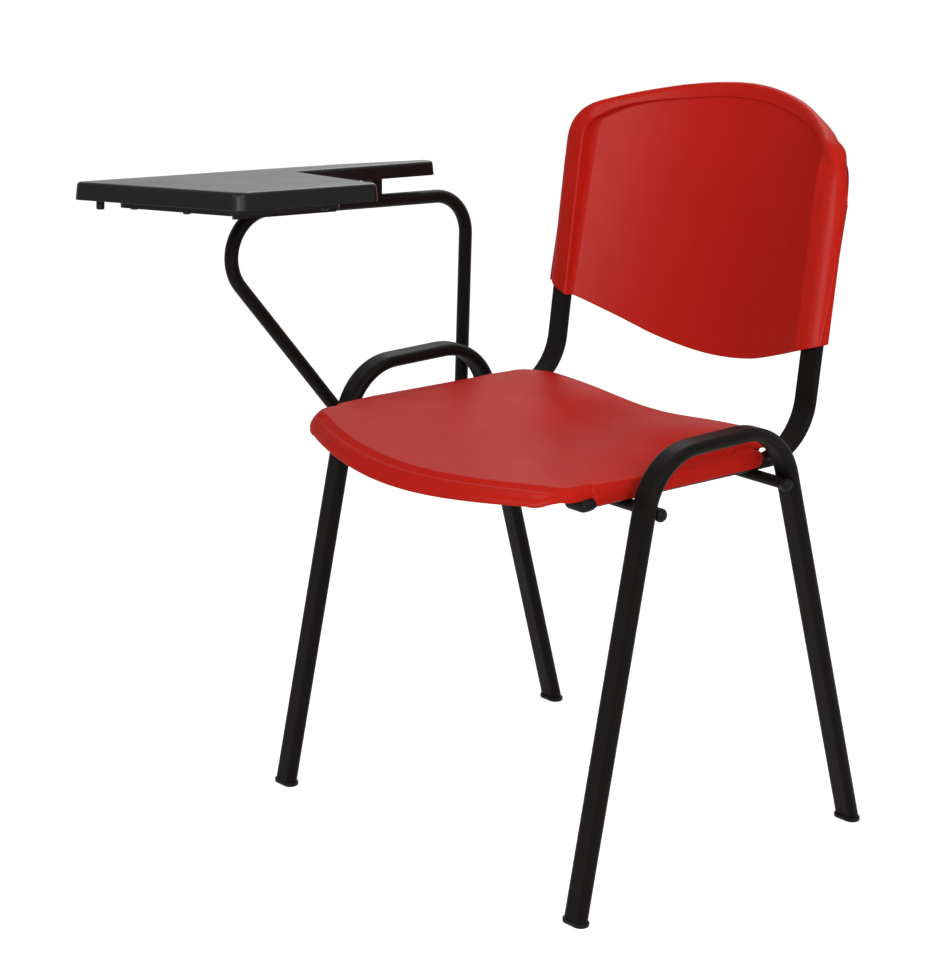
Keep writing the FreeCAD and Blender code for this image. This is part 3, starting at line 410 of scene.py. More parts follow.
def seat_edge(point, normal, sizes):
    """Edge profile at one place of the outline, from the crease to the underside: way out, height."""
    x, y = point
    nx, ny = normal
    nose = nose_fall(x, y) / NOSE_DROP
    roll = mix(sizes.seat_roll_side, sizes.seat_roll_front, nose) / MM
    lip_wall = sizes.seat_lip_wall / MM

    def surface(out):
        return seat_height(x + nx * out, y + ny * out)

    crest = surface(-roll)
    base = surface(0) - lip_depth(x, y, sizes)
    low = base + mix(2.5, 3.0, nose)
    tilt = (surface(-roll - 4) - crest) / 4 + tan(sizes.seat_crease)
    knee = max(crest - roll * tilt, mix(low, crest, 0.2))

    def rolled(t):
        return -roll * (1 - t) ** 2, crest * (1 - t) ** 2 + 2 * knee * t * (1 - t) + low * t * t

    beside = abs(nx) > SIDEWAYS
    past = (y - APRON_END) / TAIL_LENGTH
    tail = sqrt(max(0.0, 1 - past ** 2)) if beside and y > APRON_END - 1 else 0.0
    inset = -lip_wall - 1.2 - TAIL_SPREAD * tail
    under = (inset, surface(inset) - sizes.seat_thickness / MM)
    plain = plain_lip(base, low, lip_wall, under, tail)
    apron = apron_state(y)
    weight, top = apron[0], apron[3]
    if weight == 0 or not beside:
        return [rolled(t) for t in ROLL_STEPS] + plain
    groove = top - 1.6 * smooth((crest - top) / 3.0)
    last, high = 0.0, 1.0
    while high - last > 0.001:
        middle = (last + high) / 2
        last, high = (middle, high) if rolled(middle)[1] > groove else (last, middle)
    last = max(last, ROLL_LEAST)
    wall, clear = side_wall(x, base, rolled(last), under, apron, sizes.apron_wall / MM)
    reach = mix(1.0, mix(last, 1.0, clear), weight)
    return [rolled(t * reach) for t in ROLL_STEPS] + blend(plain, wall, weight)


def seat_boss(x, y, thick):
    """Post between a rail and the underside of the seat."""
    low = RAIL_Z - RAIL_FALL * (y + RAIL_FROM) + BOSS_LOW
    high = seat_height(x, y) - thick + BOSS_SINK
    ring = circle(x, y, BOSS_RADIUS, BOSS_SIDES)
    return capped([(px, py, z) for z in (low, high) for px, py in ring], BOSS_SIDES)


def seat_shell_mesh(sizes):
    """Closed shell in rings: crown outwards, over the rolled edge, back underneath; posts below."""
    plan = seat_plan()
    normals = outward(plan)
    thick = sizes.seat_thickness / MM
    edges = [seat_edge(point, normal, sizes) for point, normal in zip(plan, normals)]
    rolls = [-edge[0][0] for edge in edges]

    def inside(inset):
        return [(x - nx * (roll + inset), y - ny * (roll + inset))
                for (x, y), (nx, ny), roll in zip(plan, normals, rolls)]

    crown = [[(x * scale, SEAT_MIDDLE + (y - SEAT_MIDDLE) * scale) for x, y in inside(CROWN_INSETS[0])]
             for scale in CROWN_SCALES]
    crown += [inside(inset) for inset in CROWN_INSETS]
    vertices = []
    for ring in crown:
        vertices += [(x, y, seat_height(x, y)) for x, y in ring]
    for k in range(len(edges[0])):
        for (x, y), (nx, ny), edge in zip(plan, normals, edges):
            out, z = edge[k]
            vertices.append((x + nx * out, y + ny * out, z))
    for ring in reversed(crown):
        vertices += [(x, y, seat_height(x, y) - thick) for x, y in ring]
    return joined([capped(vertices, len(plan))] + [seat_boss(x, y, thick) for x, y in BOSS_PLACES])


# Back: front view and depths in millimetres, as in the solids

BACK_TOP = [(0, 819.0), (45, 816.4), (90, 810.3), (126, 802.6), (150, 796.6), (172, 789.8), (192, 782.0),
            (206, 773.0), (215, 762.5), (220.5, 749.5), (223.0, 736.0), (223.8, 720.0)]
BACK_LOW = [(0, 508.0), (38, 510.2), (73, 515.8), (100, 522.8), (150, 539.5), (184, 552.0), (223.8, 565.5)]
BACK_CREASE = [(0, 802.0), (45, 800.0), (95, 793.0), (120, 789.5), (146, 783.5), (173, 773.0),
               (187.3, 765.0)]
COLUMN_WALL, COLUMN_FLAT, COLUMN_OUT = 187.3, 201.0, 223.8
PANEL_LINES = [8.0 * i for i in range(22)]
PANEL_LINES += [174.0, 178.0, 181.0, 182.3, 183.4, 184.4, 185.3, 186.0, 186.6, 187.0, 187.2, 187.28]
COLUMN_LINES = [187.32, 187.4, 187.7, 188.2, 188.9, 189.8, 191.0, 193.0, 195.5, 198.0, 201.0, 204.0, 207.0,
                210.0, 213.0, 215.5, 217.8, 219.4, 220.8, 221.9, 222.7, 223.3, 223.65, 223.8]
LINE_STEPS = 6
# Depths, each with its lean and the height it is measured from
UPRIGHT_DEPTH, UPRIGHT_LEAN, UPRIGHT_FROM = 182.3, 0.135, 563.0
CROWN_DEPTH, CROWN_LEAN, CROWN_FROM = 222.0, 0.235, 515.0
SIDE_LEAN, SIDE_FROM = 0.05, 613.0
PANEL_HALF, FLANK_WIDTH, FLANK_RISE = 188.0, 36.0, 3.0
BAND_POWER = 3.2
# A pocket's inner wall curls in at the top, and the lines beside it bend with it
CURL_FROM, CURL_HEIGHT, CURL_REACH = 750.0, 16.0, 5.0
BEND_FROM, BEND_WIDTH = 160.0, 27.3
POCKET_MIDDLE, POCKET_REAR, POCKET_HEEL = 1.8, 6.2, (217.8, 6.0)
JOINT_WIDTH, REAR_JOINT_WIDTH = 9.0, 1.5
# Spans, as start and width, where a pocket runs into the band and where its rear ends
POCKET_FADE, EDGE_FADE, JOINT_FADE = (738.0, 45.0), (757.0, 8.0), (755.0, 12.0)
POCKET_END, POCKET_END_DEPTH = (714.0, 4.0), 9.0
# The rear swells behind the upper corners, between two spans across and above one
SWELL, SWELL_IN, SWELL_OUT, SWELL_UP = 6.0, (130.0, 60.0), (202.0, 16.0), (740.0, 35.0)
TOP_ROUND_FADE = (195.0, 20.0)
# Steps of the upright lines, down from the top, round the crease and up from the lower edge
TOP_STEPS = (0, 0.2, 0.6, 1.2, 2.0, 3.0, 4.5, 6.5)
CREASE_STEPS = (2.0, 1.2, 0.6, 0.2, 0.02, -0.02, -0.2, -0.6, -1.2, -2.0, -3.0, -4.0, -5.2)
CREASE_ABOVE = 3.0
LOW_STEPS = (5.5, 3.5, 2.2, 1.3, 0.6, 0.2, 0)
LOW_ABOVE = 8.0
BAND_ROWS, PANEL_ROWS = 4, 44
BAND_LEAST = 12.0
ROUND_REACH = 60.0


def curve_through(points):
    """Smooth line through the points."""
    line = []
    for i in range(len(points) - 1):
        p1, p2 = Vector(points[i]), Vector(points[i + 1])
        p0 = Vector(points[i - 1]) if i > 0 else Vector((-p2.x, p2.y))
        p3 = Vector(points[i + 2]) if i + 2 < len(points) else 2 * p2 - p1
        for k in range(LINE_STEPS):
            t = k / LINE_STEPS
            a = p1 * 2 + (p2 - p0) * t + (p0 * 2 - p1 * 5 + p2 * 4 - p3) * t * t
            line.append(tuple((a + (p1 * 3 - p0 - p2 * 3 + p3) * t ** 3) / 2))
    return line + [tuple(points[-1])]


def height_on(line, x):
    """Height of a line at x, for a line drawn outwards from the middle."""
    for (x0, z0), (x1, z1) in zip(line, line[1:]):
        if x <= x1:
            return mix(z0, z1, (x - x0) / (x1 - x0))
    return line[-1][1]


def distance_to(line, x, z):
    """Shortest way from a place to a line."""
    best = 1e9
    for (x0, z0), (x1, z1) in zip(line, line[1:]):
        dx, dz = x1 - x0, z1 - z0
        t = clamp(((x - x0) * dx + (z - z0) * dz) / (dx * dx + dz * dz))
        best = min(best, hypot(x0 + dx * t - x, z0 + dz * t - z))
    return best


def upright_depth(z):
    """Middle of the uprights, which lean to the rear."""
    return UPRIGHT_DEPTH + UPRIGHT_LEAN * (z - UPRIGHT_FROM)


def panel_depth(x, z):
    """Front of the hollow panel, flatter beside the uprights."""
    crown = CROWN_DEPTH + CROWN_LEAN * (z - CROWN_FROM)
    side = upright_depth(z) + SIDE_LEAN * (z - SIDE_FROM)
    inner = min(x / PANEL_HALF, 1.0)
    flank = FLANK_RISE * max(0.0, (x - PANEL_HALF) / FLANK_WIDTH)
    return crown - (crown - side) * inner * inner - flank


def wall_place(z):
    """Inner wall of a pocket: upright, curling in at the top."""
    curl = clamp(z - CURL_FROM, 0.0, CURL_HEIGHT) / CURL_HEIGHT
    return COLUMN_WALL - CURL_REACH * curl * curl


def rim_band(x, sizes):
    """How far the band stands forward of the panel: little in the middle, most at the corners."""
    corner = (min(x, PANEL_HALF) / PANEL_HALF) ** BAND_POWER
    return (sizes.back_rim_raise + sizes.back_corner_raise * corner) / MM


def band_depth(x, z, sizes):
    """Front of the band, which keeps bending beyond the panel."""
    crown, side = panel_depth(0.0, z), panel_depth(COLUMN_WALL, z)
    return crown - (crown - side) * (x / COLUMN_WALL) ** 2 - rim_band(x, sizes)


def column_depth(x, z, sizes):
    """Front of the pocket over an upright: flat, rounded outwards, running into the band at the top."""
    turn = clamp((x - COLUMN_FLAT) / (COLUMN_OUT - COLUMN_FLAT))
    band = band_depth(COLUMN_WALL, z, sizes) - upright_depth(z)
    front = mix(-sizes.back_pocket_raise / MM, band, eased(z, POCKET_FADE))
    return upright_depth(z) + POCKET_MIDDLE - (POCKET_MIDDLE - front) * sqrt(1 - turn * turn)


def back_front(lane, x, z, crease, sizes):
    """Front face at one place; lane tells the panel's lines from the pocket's."""
    panel, wall = panel_depth(x, z), wall_place(z)
    step = max(0.0, panel_depth(wall, z) - column_depth(wall, z, sizes))
    band, column = rim_band(x, sizes), column_depth(x, z, sizes)
    edge, fillet = sizes.back_wall_edge / MM, sizes.back_wall_fillet / MM
    merged = soft_max(band_depth(x, z, sizes), column, JOINT_WIDTH)
    if lane > COLUMN_WALL:
        turn = min(edge, step * 0.4) * (1 - eased(z, EDGE_FADE))
        front = mix(column, merged, eased(z, JOINT_FADE))
        return min(front + rounding(turn, x - wall), panel)
    if z > crease:
        return merged + rounding(min(edge, band * 0.4), z - crease)
    over = rounding(min(fillet, band * 0.6), crease - z)
    beside = rounding(min(fillet, step * 0.6), wall - x)
    return panel - max(over, beside)


def back_rear(x, z, sizes):
    """Rear face: the panel's, or the pocket's bulge where that stands further back."""
    rear = panel_depth(x, z) + sizes.back_thickness / MM
    rear += SWELL * eased(x, SWELL_IN) * (1 - eased(x, SWELL_OUT)) * eased(z, SWELL_UP)
    if x <= COLUMN_WALL:
        return rear
    start, width = POCKET_HEEL
    heel = clamp((x - start) / width)
    bulge = upright_depth(z) + POCKET_MIDDLE + POCKET_REAR * sqrt(1 - heel * heel)
    return soft_max(rear, bulge - POCKET_END_DEPTH * eased(z, POCKET_END), REAR_JOINT_WIDTH)


def line_heights(top, crease, low):
    """Heights of the points on one upright line, from the top down."""
    heights = [top - step for step in TOP_STEPS]
    heights += steps_between(top - TOP_STEPS[-1], crease + CREASE_ABOVE, BAND_ROWS)
    heights += [crease + step for step in CREASE_STEPS]
    heights += steps_between(crease + CREASE_STEPS[-1], low + LOW_ABOVE, PANEL_ROWS)
    return heights + [low + step for step in LOW_STEPS]


def back_shell_mesh(sizes):
    """Front and rear faces on one grid of upright lines, joined round the edge."""
    top_line, low_line = curve_through(BACK_TOP), curve_through(BACK_LOW)
    crease_line = curve_through(BACK_CREASE)
    low_round, top_round = sizes.back_low_round / MM, sizes.back_top_round / MM
    outer_lines = PANEL_LINES + COLUMN_LINES
    lines = [-x for x in reversed(outer_lines[1:])] + outer_lines
    fronts, rears = [], []
    for line in lines:
        lane = abs(line)
        side = 1 if line > 0 else -1
        if lane < COLUMN_WALL:
            bend = max(0.0, (lane - BEND_FROM) / BEND_WIDTH)
        else:
            bend = (COLUMN_OUT - lane) / (COLUMN_OUT - COLUMN_WALL)
        high = lane + (wall_place(BACK_TOP[0][1]) - COLUMN_WALL) * bend
        top, low = height_on(top_line, high), height_on(low_line, lane)
        crease = min(height_on(crease_line, lane), top - BAND_LEAST)
        for z in line_heights(top, crease, low):
            x = lane + (wall_place(z) - COLUMN_WALL) * bend
            front, rear = back_front(lane, x, z, crease, sizes), back_rear(x, z, sizes)
            over = distance_to(top_line, x, z) if top - z < ROUND_REACH else ROUND_REACH
            thick = rear - front
            lift = rounding(min(thick / 2, low_round), z - low)
            heel = mix(low_round, top_round, eased(x, TOP_ROUND_FADE))
            front += lift + rounding(min(thick * 0.6, top_round), over)
            rear -= lift + rounding(min(thick * 0.35, heel), over)
            fronts.append((side * x, front, z))
            rears.append((side * x, rear, z))
    count, tall, back = len(lines), len(fronts) // len(lines), len(fronts)
    faces = []
    for c in range(count - 1):
        for r in range(tall - 1):
            a, b = c * tall + r, (c + 1) * tall + r
            faces.append((a, b, b + 1, a + 1))
            faces.append((back + a, back + a + 1, back + b + 1, back + b))
    border = [c * tall for c in range(count)] + [(count - 1) * tall + r for r in range(1, tall)]
    border += [c * tall + tall - 1 for c in range(count - 2, -1, -1)] + list(range(tall - 2, 0, -1))
    for a, b in zip(border, border[1:] + border[:1]):
        faces.append((a, b, back + b, back + a))
    return fronts + rears, faces


# Plugs and caps: places and half sizes in millimetres

RAIL_PLUG = [(-158.5, 14.6, 4.2), (-161.0, 15.8, 5.8), (-164.0, 16.4, 6.8), (-170.0, 16.6, 7.3),
             (-174.0, 16.4, 7.2), (-176.5, 15.8, 6.6), (-178.2, 14.6, 5.4), (-179.0, 13.0, 3.8),
             (-179.3, 11.2, 1.8)]
RAIL_PLUG_Z, RAIL_PLUG_SIDES = 448.8, 40
CAP_DOME = [(255.0, 4.8), (258.8, 5.0), (259.0, 7.1), (260.5, 7.6), (262.5, 7.6), (264.3, 7.0),
            (265.8, 5.8), (266.8, 4.2), (267.3, 2.2), (267.4, 0.8)]
CAP_PLACES = [(-107.3, 436.4), (85.1, 432.0)]
CAP_SIDES = 32


def rail_plug_mesh(side):
    """Swollen plug in the front end of a seat rail, with rounded ends to its oval."""
    vertices = []
    for y, wide, tall in RAIL_PLUG:
        for angle in turns(RAIL_PLUG_SIDES, 0.5):
            flat = wide - tall if cos(angle) > 0 else tall - wide
            vertices.append((side * RAIL_X + flat + tall * cos(angle), y, RAIL_PLUG_Z + tall * sin(angle)))
    return capped(vertices, RAIL_PLUG_SIDES)


def cap_mesh():
    """Ball-ended caps on the left ends of both cross tubes."""
    caps = []
    for place in CAP_PLACES:
        rings = [(x, *point) for x, radius in CAP_DOME for point in circle(*place, radius, CAP_SIDES)]
        caps.append(capped(rings, CAP_SIDES))
    return joined(caps)


# Tablet, in millimetres from the hinge line: u towards the sitter, v to the rear along it, n upwards

TABLET_PLAN = [(-20.8, -453, 6), (181, -379, 18), (183, -191.5, 8), (20, -183, 3), (10, 34, 5), (-8, 34, 5),
               (-21, -84, 300), (-22.5, -228, 400)]
TABLET_TOP, TABLET_UNDER = 44.0, 40.5
HINGE_PLACE = Vector((-283.0, 0.0, 679.3))
TABLET_TURN = Matrix.Rotation(radians(-3.7), 3, "X") @ Matrix.Rotation(radians(-3.4), 3, "Y")
# The skirt is shallower along the arm rest, behind the step
SKIRT_DEEP, SKIRT_SHALLOW, SKIRT_STEP, STEP_HALF = 19.5, 17.0, -180.5, 0.05
SKIRT_WALL, SKIRT_DRAFT = 2.5, radians(6.0)
EDGE_STEPS = 8
# Posts of screws and bumper as u, v, lower end and radius; stalk of the saddle
TABLET_POSTS = [(2, -389, 16, 5), (74, -370, 16, 5), (30, -222, 16, 5), (126, -222, 16, 5),
                (-6, -428, 24, 5.5)]
POST_SIDES, POST_ROOT = 32, 42.0
STALK_PLAN = [(8, -60, 1.2), (8, -45, 1.2), (-8, -45, 1.2), (-8, -60, 1.2)]
STALK_LOW = 28.0
CORNER_STEPS = 8
# Points set close to each rounded corner keep its shading off the flat beside it
GUARD, POST_GUARD = 1.0, 0.4


def rounded_plan(corners):
    """Points of an outline with rounded corners, each with its outward normal."""
    plan = []
    for i, (u, v, radius) in enumerate(corners):
        corner = Vector((u, v))
        come = (corner - Vector(corners[i - 1][:2])).normalized()
        leave = (Vector(corners[(i + 1) % len(corners)][:2]) - corner).normalized()
        first, last = Vector((come.y, -come.x)), Vector((leave.y, -leave.x))
        turn = atan2(come.x * leave.y - come.y * leave.x, come.dot(leave))
        bend = radius if turn > 0 else -radius
        centre = corner - (first + last).normalized() * bend / cos(turn / 2)
        plan.append((centre + first * bend - come * GUARD, first))
        for step in range(CORNER_STEPS + 1):
            normal = Matrix.Rotation(turn * step / CORNER_STEPS, 2) @ first
            plan.append((centre + normal * bend, normal))
        plan.append((centre + last * bend + leave * GUARD, last))
    return plan


def with_step(plan):
    """The outline with two more points wherever it passes the step in the skirt."""
    stepped = []
    for (point, normal), (after, _) in zip(plan, plan[1:] + plan[:1]):
        stepped.append((point, normal))
        run = after.y - point.y
        if abs(run) > GUARD and (point.y - SKIRT_STEP) * (after.y - SKIRT_STEP) < 0:
            half = STEP_HALF if run > 0 else -STEP_HALF
            for v in (SKIRT_STEP - half, SKIRT_STEP + half):
                stepped.append((point.lerp(after, (v - point.y) / run), normal))
    return stepped


def skirt_profile(deep, radius):
    """The moulding's section from its ceiling round the skirt to its top: way out, height."""
    slope = tan(SKIRT_DRAFT)
    low = TABLET_TOP - deep
    reach = slope * deep
    inner = reach - SKIRT_WALL
    ceiling = slope * (TABLET_TOP - TABLET_UNDER) - SKIRT_WALL
    rows = [(ceiling - 1.4, TABLET_UNDER), (ceiling - 0.8, TABLET_UNDER),
            (ceiling - 0.24, TABLET_UNDER - 0.24)]
    rows += [(ceiling + slope * drop, TABLET_UNDER - drop) for drop in (0.8, 1.4)]
    rows += [(inner - slope * rise, low + rise) for rise in (1.2, 0.6)]
    rows += [(inner + 0.18, low + 0.18), (inner + 0.6, low), (reach - 0.6, low), (reach - 0.18, low + 0.18)]
    rows += [(reach - slope * rise, low + rise) for rise in (0.6, 1.2)]
    wall = radius * (1 - sin(SKIRT_DRAFT)) + 0.8
    rows.append((slope * wall, TABLET_TOP - wall))
    centre = slope * radius - radius / cos(SKIRT_DRAFT)
    for step in range(EDGE_STEPS + 1):
        angle = mix(SKIRT_DRAFT, pi / 2, step / EDGE_STEPS)
        rows.append((centre + radius * cos(angle), TABLET_TOP - radius + radius * sin(angle)))
    return rows + [(centre - 0.5, TABLET_TOP)]


def post(outline, low):
    """Straight post of any outline, from its lower end up into the plate."""
    heights = (low, low + POST_GUARD, POST_ROOT)
    return capped([(*point, n) for n in heights for point in outline], len(outline))


def tablet_mesh(sizes):
    """Writing plate and arm rest in one moulding that is open below, with its posts and stalk."""
    plan = with_step(rounded_plan(TABLET_PLAN))
    radius = sizes.tablet_edge / MM
    deep, shallow = skirt_profile(SKIRT_DEEP, radius), skirt_profile(SKIRT_SHALLOW, radius)
    shell = []
    for row in range(len(deep)):
        for point, normal in plan:
            out, n = (shallow if point.y > SKIRT_STEP else deep)[row]
            shell.append((*(point + normal * out), n))
    parts = [capped(shell, len(plan)), post([point for point, _ in rounded_plan(STALK_PLAN)], STALK_LOW)]
    parts += [post(circle(u, v, radius, POST_SIDES), low) for u, v, low, radius in TABLET_POSTS]
    vertices, faces = joined(parts)
    return [TABLET_TURN @ Vector(v) + HINGE_PLACE for v in vertices], faces


# Finishes: sizes of patterns in millimetres

def new_material(name):
    """Empty material, its tree and the coordinates its patterns use."""
    material = bpy.data.materials.new(name)
    material.use_nodes = True
    tree = material.node_tree
    tree.nodes.clear()
    place = add(tree, "ShaderNodeTexCoord")
    return material, tree, place.outputs["Object"]


def per_metre(size_mm):
    """Texture scale of a pattern whose features have this size."""
    return 1.0 / (size_mm * MM)


def noise(tree, place, size_mm, detail):
    node = add(tree, "ShaderNodeTexNoise", {"Vector": place, "Scale": per_metre(size_mm), "Detail": detail})
    return node.outputs["Fac"]


def cells(tree, place, size_mm):
    node = add(tree, "ShaderNodeTexVoronoi", {"Vector": place, "Scale": per_metre(size_mm)})
    return node.outputs["Distance"]


def shades(tree, factor, base, low, high):
    """Colour between two strengths of the base."""
    weak, strong = ((*[c * strength for c in base], 1) for strength in (low, high))
    node = add(tree, "ShaderNodeMix", {"Factor": factor, "A": weak, "B": strong}, data_type="RGBA")
    return node.outputs["Result"]


def spread(tree, value, low, high, start=0.0, end=1.0):
    """Value that runs from start to end, spread between two others."""
    node = add(tree, "ShaderNodeMapRange", {"Value": value, "From Min": start, "From Max": end,
                                            "To Min": low, "To Max": high})
    return node.outputs["Result"]


def relief(tree, height, strength, depth_mm):
    node = add(tree, "ShaderNodeBump", {"Height": height, "Strength": strength, "Distance": depth_mm * MM})
    return node.outputs["Normal"]


def surface_from(tree, inputs):
    """Ends a material's tree with its shader."""
    shader = add(tree, "ShaderNodeBsdfPrincipled", inputs)
    add(tree, "ShaderNodeOutputMaterial", {"Surface": shader.outputs["BSDF"]})


def moulded_polypropylene(name, base, roughness):
    """Injection-moulded polypropylene: waxy satin red, a very fine eroded grain that breaks up the
    highlights, and faint cloudiness where the melt cooled."""
    material, tree, place = new_material(name)
    cloud = noise(tree, place, 90, 3.0)
    rub = noise(tree, place, 35, 5.0)
    # The real grain is about 0.2 mm; drawn at 1.4 mm so that it shows at all
    grain = cells(tree, place, 1.4)
    surface_from(tree, {
        "Base Color": shades(tree, cloud, base, 0.93, 1.06),
        "Roughness": spread(tree, rub, roughness - 0.02, roughness + 0.03, 0.3, 0.7),
        "Normal": relief(tree, grain, 0.10, 0.10), "IOR": 1.49, "Specular IOR Level": 0.025})
    return material


def powder_coated_steel(name, base, roughness):
    """Powder-coated steel tube: an even warm-black skin with the slight orange peel of melted powder."""
    material, tree, place = new_material(name)
    drift = noise(tree, place, 60, 2.0)
    peel = noise(tree, place, 2.2, 1.0)
    surface_from(tree, {
        "Base Color": shades(tree, drift, base, 0.85, 1.2),
        "Roughness": spread(tree, drift, roughness - 0.06, roughness + 0.06),
        "Normal": relief(tree, peel, 0.12, 0.12), "Specular IOR Level": 0.06})
    return material


def moulded_abs(name, base, roughness):
    """Moulded ABS: dense black with a fine leather-like grain; grey sheen at a low angle."""
    material, tree, place = new_material(name)
    drift = noise(tree, place, 45, 3.0)
    grain = cells(tree, place, 1.3)
    surface_from(tree, {
        "Base Color": shades(tree, drift, base, 0.9, 1.15),
        "Roughness": spread(tree, drift, roughness - 0.04, roughness + 0.05),
        "Normal": relief(tree, grain, 0.12, 0.1), "IOR": 1.54, "Specular IOR Level": 0.16})
    return material


def soft_polyethylene(name, base):
    """Moulded low-density polyethylene: dull black with a waxy bloom."""
    material, tree, place = new_material(name)
    bloom = noise(tree, place, 8, 4.0)
    surface_from(tree, {
        "Base Color": shades(tree, bloom, base, 0.8, 1.5), "Roughness": spread(tree, bloom, 0.42, 0.6),
        "Specular IOR Level": 0.12})
    return material


def blackened_steel(name, base):
    """Steel screws blackened in an oxide bath: dark metal, lighter where the skin is thin."""
    material, tree, place = new_material(name)
    skin = noise(tree, place, 3, 5.0)
    surface_from(tree, {
        "Base Color": shades(tree, skin, base, 0.6, 1.6), "Roughness": spread(tree, skin, 0.28, 0.5),
        "Metallic": 1.0})
    return material


def matt_rubber(name, base):
    """Moulded rubber: flat black, slightly dusty."""
    material, tree, place = new_material(name)
    dust = noise(tree, place, 4, 6.0)
    surface_from(tree, {
        "Base Color": shades(tree, dust, base, 1.0, 2.2), "Roughness": spread(tree, dust, 0.65, 0.85),
        "Specular IOR Level": 0.25})
    return material


def shell_material():
    """The red of both shells, made once."""
    looks = bpy.context.scene.chair_finishes
    return bpy.data.materials.get("Moulded_polypropylene_red") or moulded_polypropylene(
        "Moulded_polypropylene_red", looks.shell, looks.shell_gloss)


# Studio: places in metres, powers in watts

LIGHTS = [
    ("key_softbox", (2.9, -0.7, 1.9), (0.9, 1.4), 34.0, "soft"),
    ("top_softbox", (0.3, 0.0, 2.9), (1.6, 1.6), 8.0, "soft"),
    ("front_softbox", (0.9, -2.5, 2.4), (1.4, 1.4), 28.0, "soft"),
    ("front_card", (0.95, -2.85, 0.95), (0.9, 1.8), 320.0, "shells"),
    ("rear_card", (-1.4, 1.6, 2.2), (1.4, 1.0), 30.0, "card"),
    ("corner_card", (2.6, -2.25, 0.75), (0.5, 0.7), 75.0, "tablet"),
]
RECEIVERS = {"shells": ("seat_moulding", "back_moulding"), "tablet": ("tablet_moulding",)}
LIGHT_AIM = Vector((0, 0, 0.5))
WORLD_FILL, WORLD_SEEN = 0.45, 1.0
FLOOR_CELLS, FLOOR_HALF, FLOOR_GLOW = 8, 12.0, 0.6
SENSOR_WIDTH = 36.0


def facing(direction):
    """Turn of a lamp or camera that looks this way."""
    return Vector(direction).to_track_quat("-Z", "Y").to_euler()


def make_light(scene, name, place, size, power, kind):
    """Soft lamp, or a card that only shows in glossy surfaces: in all of them, or in its receivers."""
    lamp = bpy.data.lights.new(name, "AREA")
    lamp.shape = "RECTANGLE"
    lamp.size, lamp.size_y = size
    lamp.energy = power
    light = bpy.data.objects.new(name, lamp)
    light.location = place
    light.rotation_euler = facing(LIGHT_AIM - Vector(place))
    light.visible_camera = False
    light.visible_diffuse = kind == "soft"
    if kind in RECEIVERS:
        receivers = bpy.data.collections.new(kind)
        for piece in RECEIVERS[kind]:
            receivers.objects.link(bpy.data.objects[piece])
        light.light_linking.receiver_collection = receivers
    scene.collection.objects.link(light)


def seen_directly(tree):
    """One for rays from the camera, and for those that a gloss or glass turns."""
    path = add(tree, "ShaderNodeLightPath")
    some = add(tree, "ShaderNodeMath", {0: path.outputs["Is Camera Ray"], 1: path.outputs["Is Glossy Ray"]},
               operation="MAXIMUM")
    every = add(tree, "ShaderNodeMath", {0: some.outputs["Value"], 1: path.outputs["Is Transmission Ray"]},
                operation="MAXIMUM")
    return every.outputs["Value"]


def make_world(scene):
    """White background, which lights the chair less than it shows."""
    world = bpy.data.worlds.new("white_studio")
    world.use_nodes = True
    tree = world.node_tree
    tree.nodes.clear()
    level = spread(tree, seen_directly(tree), WORLD_FILL, WORLD_SEEN)
    sky = add(tree, "ShaderNodeBackground", {"Color": (1, 1, 1, 1), "Strength": level})
    add(tree, "ShaderNodeOutputWorld", {"Surface": sky.outputs["Background"]})
    scene.world = world


def make_floor(studio):
    """Pale painted floor that runs into the white background."""
    work = bmesh.new()
    bmesh.ops.create_grid(work, x_segments=FLOOR_CELLS, y_segments=FLOOR_CELLS, size=FLOOR_HALF)
    mesh = bpy.data.meshes.new("studio_floor")
    work.to_mesh(mesh)
    work.free()
    floor = bpy.data.objects.new("studio_floor", mesh)
    bpy.context.scene.collection.objects.link(floor)
    material, tree, place = new_material("Painted_studio_floor")
    wash = noise(tree, place, 700, 2.0)
    surface_from(tree, {
        "Base Color": shades(tree, wash, studio.floor, 0.99, 1.0), "Roughness": 0.9,
        "Specular IOR Level": 0.0, "Emission Color": (1, 1, 1, 1),
        "Emission Strength": spread(tree, seen_directly(tree), 0.0, FLOOR_GLOW)})
    mesh.materials.append(material)


# Operators

class CHAIR_OT_seat(bpy.types.Operator):
    """Builds the seat moulding with its rolled edge and side walls"""
    bl_idname = "chair.seat"
    bl_label = "Seat moulding"

    def execute(self, context):
        new_piece("seat_moulding", "chair", "red_polypropylene", shell_material(), "seat_shell",
                  *seat_shell_mesh(context.scene.chair_sizes))
        return {"FINISHED"}


class CHAIR_OT_back(bpy.types.Operator):
    """Builds the back moulding with its raised rim and the sleeves over the uprights"""
    bl_idname = "chair.back"
    bl_label = "Back moulding"

    def execute(self, context):
        new_piece("back_moulding", "chair", "red_polypropylene", shell_material(), "back_shell",
                  *back_shell_mesh(context.scene.chair_sizes))
        return {"FINISHED"}


class CHAIR_OT_tubes(bpy.types.Operator):
    """Powder-coats the legs, rails, cross tubes and arm tube"""
    bl_idname = "chair.tubes"
    bl_label = "Steel tubes"

    def execute(self, context):
        looks = context.scene.chair_finishes
        coat = powder_coated_steel("Powder_coated_steel_black", looks.tube, looks.tube_gloss)
        dress(coat, ("left_leg_frame", "right_leg_frame", "left_seat_rail", "right_seat_rail",
                     "front_cross_tube", "rear_cross_tube", "arm_tube"))
        return {"FINISHED"}


